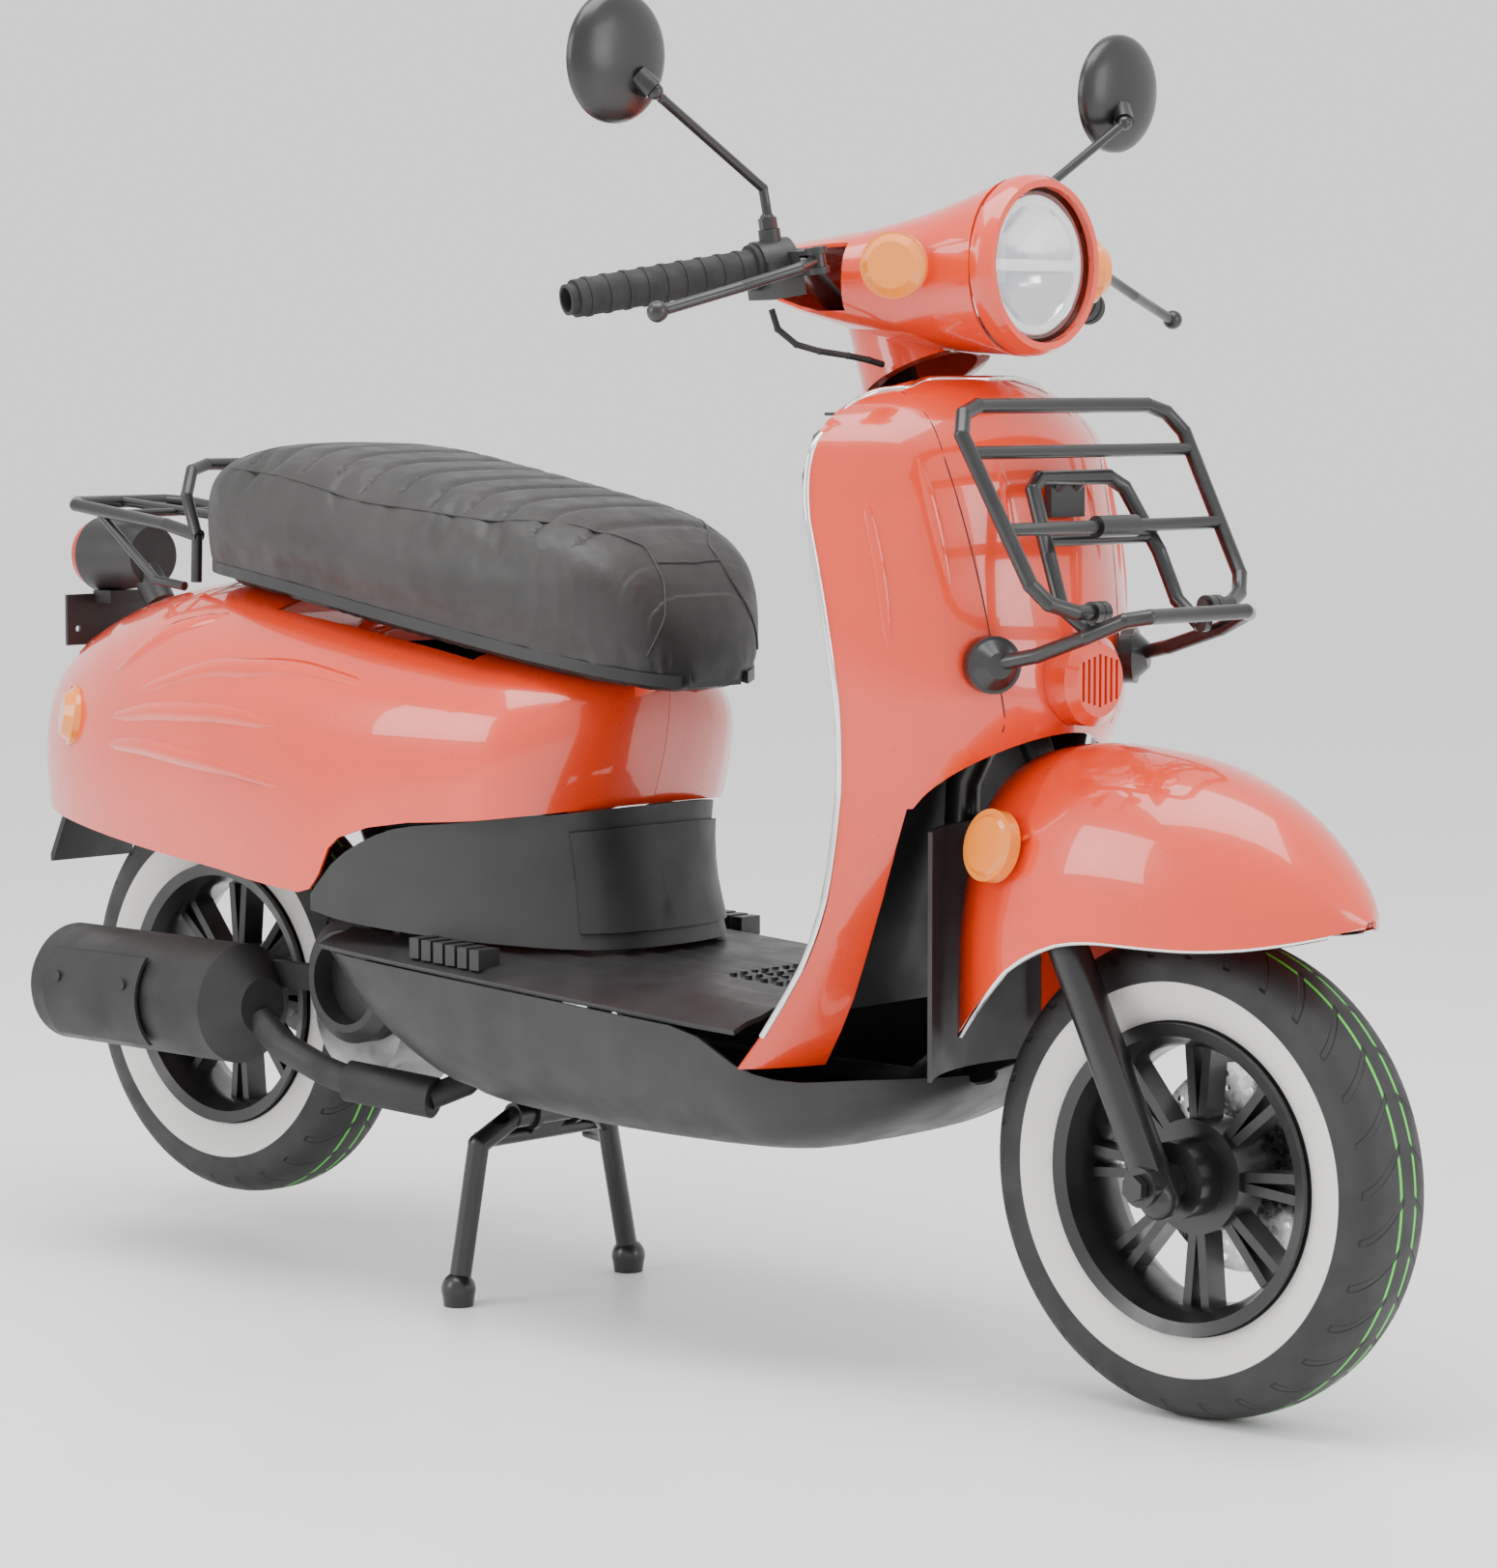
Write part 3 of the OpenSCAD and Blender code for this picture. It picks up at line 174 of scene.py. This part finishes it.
def finished_copy(node, finish, smooth=38):
    """The piece of this CAD node with its loose triangles joined and its curves shaded smooth."""
    piece = bpy.data.objects.new(node + "_finished", frame["nodes"][node].data.copy())
    bpy.context.scene.collection.objects.link(piece)
    only(piece)
    bpy.ops.object.mode_set(mode="EDIT")
    bpy.ops.mesh.select_all(action="SELECT")
    bpy.ops.mesh.customdata_custom_splitnormals_clear()
    bpy.ops.mesh.remove_doubles(threshold=0.00001)
    bpy.ops.object.mode_set(mode="OBJECT")
    bpy.ops.object.shade_smooth_by_angle(angle=math.radians(smooth))
    piece.data.materials.clear()
    piece.data.materials.append(finish.material)
    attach(piece, body_of_node[node])
    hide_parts(node)
    return piece


def lacquer(name, colour):
    paint = Finish(name, Roughness=0.3, Coat_Weight=1.0, Coat_Roughness=0.03, Coat_IOR=1.5)
    darker = tuple(0.9 * c for c in colour[:3]) + (1,)
    paint.feed(Base_Color=paint.blend(paint.between(paint.noise(5), 0.3, 0.7), colour, darker))
    paint.feed(Roughness=paint.between(paint.noise(40), 0.3, 0.7, 0.27, 0.33))
    paint.bump(paint.noise(260, 2), 0.00004, 0.35)
    return paint


coral = lacquer("coral_lacquer", (0.84, 0.045, 0.006, 1))
cowl = finished_copy("rear_cowl", coral)
shield = finished_copy("leg_shield", coral)
finished_copy("horn_cover", coral)
head = finished_copy("headset_cowl", coral)
finished_copy("headlight_bezel", coral)
fender = finished_copy("front_fender", coral)


def tube_through(name, points, radius, finish, body, closed=False, sides=3, taper=False):
    """A round bead or wire on a smooth line through these points."""
    curve = bpy.data.curves.new(name, "CURVE")
    curve.dimensions = "3D"
    curve.bevel_depth = radius
    curve.bevel_resolution = sides
    curve.use_fill_caps = True
    line = curve.splines.new("NURBS")
    line.points.add(len(points) - 1)
    for i, (knot, point) in enumerate(zip(line.points, points)):
        knot.co = (*point, 1)
        if taper:
            knot.radius = max(0.15, max(0, math.sin(math.pi * i / (len(points) - 1))) ** 0.5)
    line.order_u = 4
    line.use_endpoint_u = not closed
    line.use_cyclic_u = closed
    line.resolution_u = 6
    bead = bpy.data.objects.new(name, curve)
    bpy.context.scene.collection.objects.link(bead)
    only(bead)
    bpy.ops.object.convert(target="MESH")
    bead = bpy.context.object
    bead.data.materials.clear()
    bead.data.materials.append(finish.material)
    bpy.ops.object.shade_smooth_by_angle(angle=math.radians(50))
    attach(bead, body)
    return bead


def along(stops, count):
    """This many points on the straight runs between the stops."""
    points = []
    for i in range(count):
        place = i / (count - 1) * (len(stops) - 1)
        leg = min(int(place), len(stops) - 2)
        points.append(Vector(stops[leg]).lerp(Vector(stops[leg + 1]), place - leg))
    return points


def laid_on(panel, stops, count, start, way, depth):
    """Points on the panel's skin under the stops, looked at along way, sunk by depth."""
    found = []
    for stop in along(stops, count):
        hit, spot, normal, _ = panel.ray_cast(Vector(stop) + Vector(start), Vector(way))
        if hit:
            found.append(spot - normal * depth)
    return found


# Raised strakes run forwards from the tail on each side of the rear cowl.
strakes = [
    [(-0.66, 0, 0.605), (-0.56, 0, 0.665), (-0.46, 0, 0.69)],
    [(-0.67, 0, 0.578), (-0.46, 0, 0.633), (-0.33, 0, 0.638), (-0.18, 0, 0.618)],
    [(-0.68, 0, 0.565), (-0.55, 0, 0.583), (-0.43, 0, 0.587), (-0.28, 0, 0.575)],
    [(-0.68, 0, 0.54), (-0.57, 0, 0.545), (-0.43, 0, 0.533), (-0.28, 0, 0.509)],
]
for number, strake in enumerate(strakes):
    for side in (-1, 1):
        ridge = laid_on(cowl, strake, 14, (0, 0.5 * side, 0), (0, -side, 0), 0.0075)
        if len(ridge) > 4:
            tube_through(f"cowl_strake_{number}_{side}", ridge, 0.0135, coral, "chassis", taper=True)

# Two pressed ridges and the seam of the centre panel stand on each half of the leg shield.
seam_black = Finish("seam_shadow", Base_Color=(0.05, 0.008, 0.004, 1), Roughness=0.6)
seam_black.bump(seam_black.noise(300), 0.0001, 0.3)
ridges = [[(0.5, 0.135, 0.885), (0.5, 0.122, 0.72)], [(0.5, 0.178, 0.85), (0.5, 0.17, 0.66)], [(0.5, 0.06, 0.885), (0.5, 0.062, 0.74)]]
for side in (-1, 1):
    for number, ridge in enumerate(ridges):
        stops = [(x, side * y, z) for x, y, z in ridge]
        points = laid_on(shield, stops, 12, (0.4, 0, 0), (-1, 0, 0), 0.0045)
        if len(points) > 4:
            tube_through(f"shield_ridge_{number}_{side}", points, 0.0075, coral, "chassis", taper=True)
    seam = [(0.5, side * y, z) for y, z in [(0.105, 0.915), (0.112, 0.86), (0.1, 0.76), (0.088, 0.66), (0.078, 0.61)]]
    points = laid_on(shield, seam, 24, (0.4, 0, 0), (-1, 0, 0), 0.0004)
    if len(points) > 4:
        tube_through(f"shield_seam_{side}", points, 0.0009, seam_black, "chassis")

# ---- Bright trim ---------------------------------------------------------------------------
# A thin chromed moulding is clipped along the rim of the leg shield and the lower edge of the
# front fender. It is a rolled strip, so it shows as a round bead.
chrome = Finish("bright_chrome", Base_Color=(0.82, 0.83, 0.84, 1), Metallic=1.0, Roughness=0.08)
chrome.feed(Roughness=chrome.between(chrome.noise(90), 0.3, 0.7, 0.05, 0.13))


def slice_ends(piece, axis, low, high, count, pick):
    """In each slice of the piece across axis, the corner that pick puts first."""
    corners = [v.co for v in piece.data.vertices]
    step = (high - low) / (count - 1)
    found = []
    for i in range(count):
        middle = low + i * step
        near = [c for c in corners if abs(c[axis] - middle) < step * 0.75]
        if near:
            found.append(Vector(min(near, key=pick)))
    return found


shield_low, shield_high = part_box("leg_shield")
right_rim = slice_ends(shield, 2, shield_low[2] + 0.02, shield_high[2] - 0.05, 26, lambda c: c.y)
left_rim = slice_ends(shield, 2, shield_low[2] + 0.02, shield_high[2] - 0.05, 26, lambda c: -c.y)
top_rim = slice_ends(shield, 1, -0.155, 0.155, 13, lambda c: -c.z)
tube_through("shield_trim", right_rim + top_rim + left_rim[::-1], 0.0032, chrome, "chassis")
fender_low, fender_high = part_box("front_fender")
for side in (-1, 1):
    rim = slice_ends(fender, 0, fender_low[0] + 0.02, fender_high[0] - 0.012, 26, lambda c: c.z - (1 if c.y * side > 0.006 else 0))
    tube_through(f"fender_trim_{side}", rim, 0.003, chrome, "steering")

# ---- Dark moulded plastic ------------------------------------------------------------------
# The belly pan, floor, inner shield, panel under the seat, its cover and the tail pieces are
# charcoal plastic with a fine moulded grain.
charcoal = Finish("charcoal_plastic", Roughness=0.5, Base_Color=(0.02, 0.02, 0.021, 1))
charcoal.feed(Base_Color=charcoal.blend(charcoal.between(charcoal.noise(7), 0.3, 0.7), (0.022, 0.022, 0.023, 1), (0.014, 0.014, 0.015, 1)))
charcoal.feed(Roughness=charcoal.between(charcoal.noise(25), 0.3, 0.7, 0.4, 0.52))
charcoal.bump(charcoal.noise(900, 2), 0.00012, 0.45)
for node in ("belly_pan", "floorboard", "inner_shield", "side_panel", "storage_bucket", "mudflap", "wheel_well",
             "seat_pan", "tail_housing", "switch_housing_right", "switch_housing_left", "fan_cover"):
    finished_copy(node, charcoal)
cover = finished_copy("access_cover", charcoal)

# ---- Powder-coated steel -------------------------------------------------------------------
# The frame, racks, stands, levers, mirror arms, rims and exhaust are steel or cast alloy under
# satin black powder coat, which has a slight orange-peel surface.
powder = Finish("black_powder_coat", Base_Color=(0.009, 0.009, 0.0095, 1), Roughness=0.33, Coat_Weight=0.25, Coat_Roughness=0.2)
powder.feed(Roughness=powder.between(powder.noise(30), 0.3, 0.7, 0.28, 0.4))
powder.bump(powder.noise(520, 2), 0.00007, 0.4)
for node in ("frame_tubes", "rear_rack", "front_carrier", "front_rack_grid", "steering_stem", "handlebar", "fork_lowers",
             "brake_lever_right", "brake_lever_left", "mirror_stem_right", "mirror_stem_left", "mirror_head_right",
             "mirror_head_left", "front_rim", "rear_rim", "centre_stand", "shock_body"):
    finished_copy(node, powder)
heatproof = Finish("heatproof_black", Base_Color=(0.014, 0.014, 0.014, 1), Roughness=0.62)
heatproof.feed(Roughness=heatproof.between(heatproof.noise(18), 0.3, 0.7, 0.5, 0.7))
heatproof.bump(heatproof.noise(420), 0.0001, 0.5)
finished_copy("exhaust", heatproof)

# ---- Bare metal ----------------------------------------------------------------------------
# Sand-cast alloy for the engine, caliper and side stand; ground steel for disc, key and rod.
cast = Finish("cast_alloy", Base_Color=(0.42, 0.42, 0.42, 1), Metallic=1.0, Roughness=0.45)
cast.feed(Roughness=cast.between(cast.noise(60), 0.3, 0.7, 0.38, 0.56))
cast.bump(cast.noise(350), 0.0003, 0.5)
for node in ("engine_case", "brake_caliper", "side_stand"):
    finished_copy(node, cast)
ground = Finish("ground_steel", Base_Color=(0.6, 0.6, 0.61, 1), Metallic=1.0, Roughness=0.28)
ground.feed(Roughness=ground.between(ground.noise(150), 0.3, 0.7, 0.2, 0.34))
for node in ("brake_disc", "ignition_key", "shock_rod"):
    finished_copy(node, ground)

# ---- Grips and cable -----------------------------------------------------------------------
# Soft black rubber with a dull skin.
rubber = Finish("grip_rubber", Base_Color=(0.016, 0.016, 0.016, 1), Roughness=0.7)
rubber.feed(Roughness=rubber.between(rubber.noise(50), 0.3, 0.7, 0.6, 0.78))
rubber.bump(rubber.noise(700), 0.00015, 0.5)
for node in ("grip_left", "throttle_grip", "throttle_cable"):
    finished_copy(node, rubber)

# ---- Tyres ---------------------------------------------------------------------------------
# Tubeless tyres with a wide white wall, slanted tread grooves and the maker's green tread line.
def tyre_finish(name, node):
    low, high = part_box(node)
    middle = (Vector(low) + Vector(high)) / 2
    outer = (high[2] - low[2]) / 2
    tyre = Finish(name, Roughness=0.6)
    shift = tyre.node("ShaderNodeVectorMath", {"operation": "SUBTRACT"}, {0: tyre.place(), 1: tuple(middle)})
    split = tyre.node("ShaderNodeSeparateXYZ", sockets={0: shift})
    parts = split.socket.node.outputs
    x, y, z = (Wire(tyre, parts[axis]) for axis in ("X", "Y", "Z"))
    radius = tyre.node("ShaderNodeMath", {"operation": "SQRT"}, {0: x * x + z * z})
    turn = tyre.node("ShaderNodeMath", {"operation": "ARCTAN2"}, {0: z, 1: x})
    across = tyre.node("ShaderNodeMath", {"operation": "ABSOLUTE"}, {0: y})
    white = tyre.between(radius, 0.1415, 0.1425) * tyre.between(radius, 0.1765, 0.1775, 1.0, 0.0)
    tread = tyre.between(radius, outer - 0.02, outer - 0.017)
    wave = tyre.node("ShaderNodeMath", {"operation": "SINE"}, {0: turn * 30 + across * 150})
    groove = tyre.between(wave, 0.80, 0.93) * tyre.between(across, 0.006, 0.009)
    line = tyre.between(across, 0.0085, 0.0095) * tyre.between(across, 0.0115, 0.0125, 1.0, 0.0) * tread
    black = (0.018, 0.018, 0.0185, 1)
    walls = tyre.blend(white, black, (0.74, 0.73, 0.7, 1))
    tyre.feed(Base_Color=tyre.blend(line * (1 - groove * tread), walls, (0.08, 0.62, 0.05, 1)))
    tyre.feed(Roughness=tyre.between(tyre.noise(30), 0.3, 0.7, 0.52, 0.68))
    tyre.bump(tyre.noise(500) * 0.1 - groove * tread, 0.0035, 1.0)
    return tyre


finished_copy("front_tyre", tyre_finish("front_tyre_rubber", "front_tyre"))
finished_copy("rear_tyre", tyre_finish("rear_tyre_rubber", "rear_tyre"))

# ---- Lamps ---------------------------------------------------------------------------------
# Clear moulded lens over a chromed bowl with a white ring and bar of light; amber and red lenses.
glass = Finish("clear_lens", Base_Color=(1, 1, 1, 1), Roughness=0.02, IOR=1.45, Transmission_Weight=1.0)
glass.bump(glass.noise(12, 1), 0.0002, 0.2)
lens_low, lens_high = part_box("headlight_lens")
lens_y = (lens_low[1] + lens_high[1]) / 2
lens_z = (lens_low[2] + lens_high[2]) / 2
lens_r = (lens_high[2] - lens_low[2]) / 2


def turned(name, at, radius, depth, finish, body, bands=8, dish=0.6, facing=1):
    """A dish with its mouth at this place, facing along X."""
    bpy.ops.mesh.primitive_circle_add(vertices=48, radius=radius, location=at, rotation=(0, math.pi / 2, 0))
    bowl = bpy.context.object
    bowl.name = name
    bpy.ops.object.transform_apply(location=False, rotation=True, scale=True)
    bpy.ops.object.mode_set(mode="EDIT")
    bpy.ops.mesh.select_all(action="SELECT")
    for band in range(1, bands + 1):
        share = 1 - band / (bands + 1)
        last = 1 - (band - 1) / (bands + 1)
        bpy.ops.mesh.extrude_region_move(TRANSFORM_OT_translate={"value": (-facing * depth * (last ** (1 / dish) - share ** (1 / dish)), 0, 0)})
        bpy.ops.transform.resize(value=(1, share / last, share / last), center_override=at)
    bpy.ops.mesh.edge_face_add()
    bpy.ops.mesh.select_all(action="SELECT")
    bpy.ops.mesh.normals_make_consistent(inside=False)
    bpy.ops.object.mode_set(mode="OBJECT")
    only(bowl)
    bpy.ops.object.transform_apply(location=True, rotation=True, scale=True)
    wall = bowl.modifiers.new("wall", "SOLIDIFY")
    wall.thickness = 0.0012
    bpy.ops.object.modifier_apply(modifier="wall")
    bpy.ops.object.shade_smooth_by_angle(angle=math.radians(40))
    bowl.data.materials.append(finish.material)
    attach(bowl, body)
    return bowl


mirror_bright = Finish("lamp_reflector", Base_Color=(0.75, 0.76, 0.78, 1), Metallic=1.0, Roughness=0.12)
mirror_bright.bump(mirror_bright.noise(60, 1), 0.0015, 0.5)
glow = Finish("white_light_guide", Base_Color=(0.9, 0.91, 0.93, 1), Roughness=0.4, Emission_Color=(0.95, 0.97, 1, 1), Emission_Strength=0.5)
finished_copy("headlight_lens", glass)
turned("headlight_bowl", (lens_low[0] - 0.002, lens_y, lens_z), lens_r - 0.008, 0.03, mirror_bright, "steering")
ring = [(lens_low[0] - 0.004, lens_y + (lens_r - 0.013) * math.cos(a), lens_z + (lens_r - 0.013) * math.sin(a))
        for a in (math.tau * i / 36 for i in range(36))]
tube_through("headlight_ring", ring, 0.0042, glow, "steering", closed=True)
bar = [(lens_low[0] - 0.006, lens_y + s * (lens_r - 0.014), lens_z) for s in (-1, -0.5, 0, 0.5, 1)]
tube_through("headlight_bar", bar, 0.005, glow, "steering")
amber = Finish("amber_lens", Base_Color=(0.9, 0.25, 0.02, 1), Roughness=0.12, Coat_Weight=0.6, Coat_Roughness=0.03)
amber.bump(amber.noise(420, 1), 0.0006, 0.6)
for node in ("front_indicator_right", "front_indicator_left", "rear_indicators", "fender_reflectors"):
    finished_copy(node, amber)
red = Finish("red_lens", Base_Color=(0.5, 0.012, 0.01, 1), Roughness=0.1, Coat_Weight=0.8, Coat_Roughness=0.03)
red.bump(red.noise(300, 1), 0.0005, 0.5)
finished_copy("tail_lens", red)

# ---- Switches ------------------------------------------------------------------------------
# Small moulded buttons: red starter, yellow horn, grey turn switch.
for node, colour in (("start_button", (0.5, 0.03, 0.02, 1)), ("horn_button", (0.6, 0.42, 0.03, 1)), ("signal_switch", (0.25, 0.25, 0.26, 1))):
    button = Finish(node + "_plastic", Base_Color=colour, Roughness=0.4)
    button.bump(button.noise(600), 0.0001, 0.4)
    finished_copy(node, button)

# ---- Shock spring --------------------------------------------------------------------------
# A wound steel coil between the two seats of the shock absorber, powder-coated black.
spring_low, spring_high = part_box("shock_spring")
spring_x, spring_y = (spring_low[0] + spring_high[0]) / 2, (spring_low[1] + spring_high[1]) / 2
coil_r = (spring_high[0] - spring_low[0]) / 2 - 0.004
coil_turns, coil_steps = 8, 16
coil = []
for i in range(coil_turns * coil_steps + 1):
    share = i / (coil_turns * coil_steps)
    a = math.tau * coil_turns * share
    coil.append((spring_x + coil_r * math.cos(a), spring_y + coil_r * math.sin(a), spring_low[2] + 0.004 + (spring_high[2] - spring_low[2] - 0.008) * share))
spring = tube_through("shock_coil", coil, 0.0038, powder, "shock", sides=2)
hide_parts("shock_spring")

# ---- Seat ----------------------------------------------------------------------------------
# One foam pad under stitched black vinyl. The foam is puffed against its cover, the top has
# sewn cross channels, and a raised seam runs round the top panel and across the front.
seat_grain = Finish("seat_vinyl", Base_Color=(0.03, 0.028, 0.027, 1), Roughness=0.52)
seat_grain.feed(Base_Color=seat_grain.blend(seat_grain.between(seat_grain.noise(9), 0.3, 0.7), (0.034, 0.032, 0.031, 1), (0.022, 0.021, 0.02, 1)))
seat_grain.feed(Roughness=seat_grain.between(seat_grain.noise(35), 0.3, 0.7, 0.44, 0.58))
seat_grain.bump(seat_grain.noise(650), 0.0003, 0.5)
seat = finished_copy("seat_cushion", seat_grain)
foam = seat.modifiers.new("even_mesh", "REMESH")
foam.mode = "VOXEL"
foam.voxel_size = 0.006
only(seat)
bpy.ops.object.modifier_apply(modifier="even_mesh")
flat = [v.co.copy() for v in seat.data.vertices]
puff = seat.modifiers.new("puff", "CLOTH")
puff.settings.use_pressure = True
puff.settings.uniform_pressure_force = 4
puff.settings.effector_weights.gravity = 0
puff.point_cache.frame_start, puff.point_cache.frame_end = 1, 12
for step in range(1, 13):
    bpy.context.scene.frame_set(step)
bpy.ops.object.modifier_apply(modifier="puff")
bpy.context.scene.frame_set(1)
puff_limit, inset = 0.007, 0.004
for vertex, start in zip(seat.data.vertices, flat):
    move = vertex.co - start
    if move.length > puff_limit:
        move = move.normalized() * puff_limit
    vertex.co = start + move - vertex.normal * inset
fine = seat.modifiers.new("fine", "SUBSURF")
fine.levels = fine.render_levels = 1
bpy.ops.object.modifier_apply(modifier="fine")
# the cover hangs over the edge of the seat pan: the lower part of each slice is drawn down
skirt_drop, slice_length = 0.02, 0.02
slices = {}
for vertex in seat.data.vertices:
    slices.setdefault(round(vertex.co.x / slice_length), []).append(vertex.co.z)
for vertex in seat.data.vertices:
    heights = slices[round(vertex.co.x / slice_length)]
    share = (max(heights) - vertex.co.z) / max(0.01, max(heights) - min(heights))
    vertex.co.z -= skirt_drop * share * share
channel_first, channel_last, channel_gap = -0.47, 0.0, 0.047
seat.data.update()
for vertex in seat.data.vertices:
    if vertex.normal.z > 0.72 and channel_first - 0.02 < vertex.co.x < channel_last + 0.01:
        phase = (vertex.co.x - channel_first) / channel_gap
        away = abs(phase - round(phase)) * channel_gap
        edge = min(1, max(0, (vertex.normal.z - 0.72) / 0.2))
        vertex.co.z -= 0.0045 * edge * math.exp(-(away / 0.0055) ** 2)
bpy.ops.object.shade_smooth()


def seam_on_seat(name, stops, count):
    points = []
    for stop in along(stops, count):
        _, spot, normal, _ = seat.closest_point_on_mesh(stop)
        points.append(spot + normal * 0.0002)
    tube_through(name, points, 0.0015, seat_grain, "seat")


for side in (-1, 1):
    rim = [(-0.56, 0.09, 0.83), (-0.43, 0.129, 0.834), (-0.27, 0.145, 0.81), (-0.1, 0.125, 0.793), (0.0, 0.08, 0.78),
           (0.034, 0.045, 0.764), (0.062, 0.047, 0.732), (0.078, 0.061, 0.698), (0.071, 0.08, 0.66)]
    seam_on_seat(f"seat_seam_{side}", [(x, side * y, z) for x, y, z in rim], 46)
seam_on_seat("seat_front_seam", [(0.05, -0.045, 0.75), (0.055, 0, 0.752), (0.05, 0.045, 0.75)], 12)

# ---- Mirror glass --------------------------------------------------------------------------
# Flat silvered glass behind the rim of each round head, facing the rider.
silvered = Finish("mirror_glass", Base_Color=(0.9, 0.91, 0.92, 1), Metallic=1.0, Roughness=0.02)
silvered.feed(Roughness=silvered.between(silvered.noise(20), 0.3, 0.7, 0.01, 0.04))
for side in ("right", "left"):
    low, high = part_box("mirror_head_" + side)
    middle = ((low[1] + high[1]) / 2, (low[2] + high[2]) / 2)
    bpy.ops.mesh.primitive_cylinder_add(vertices=64, radius=0.053, depth=0.0016, location=(low[0] + 0.0042, *middle), rotation=(0, math.radians(-86), 0))
    pane = bpy.context.object
    pane.name = "mirror_pane_" + side
    bevel = pane.modifiers.new("edge", "BEVEL")
    bevel.width, bevel.segments = 0.0005, 2
    bpy.ops.object.modifier_apply(modifier="edge")
    bpy.ops.object.transform_apply(location=True, rotation=True, scale=True)
    bpy.ops.object.shade_smooth_by_angle(angle=math.radians(40))
    pane.data.materials.append(silvered.material)
    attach(pane, "mirror_" + side)
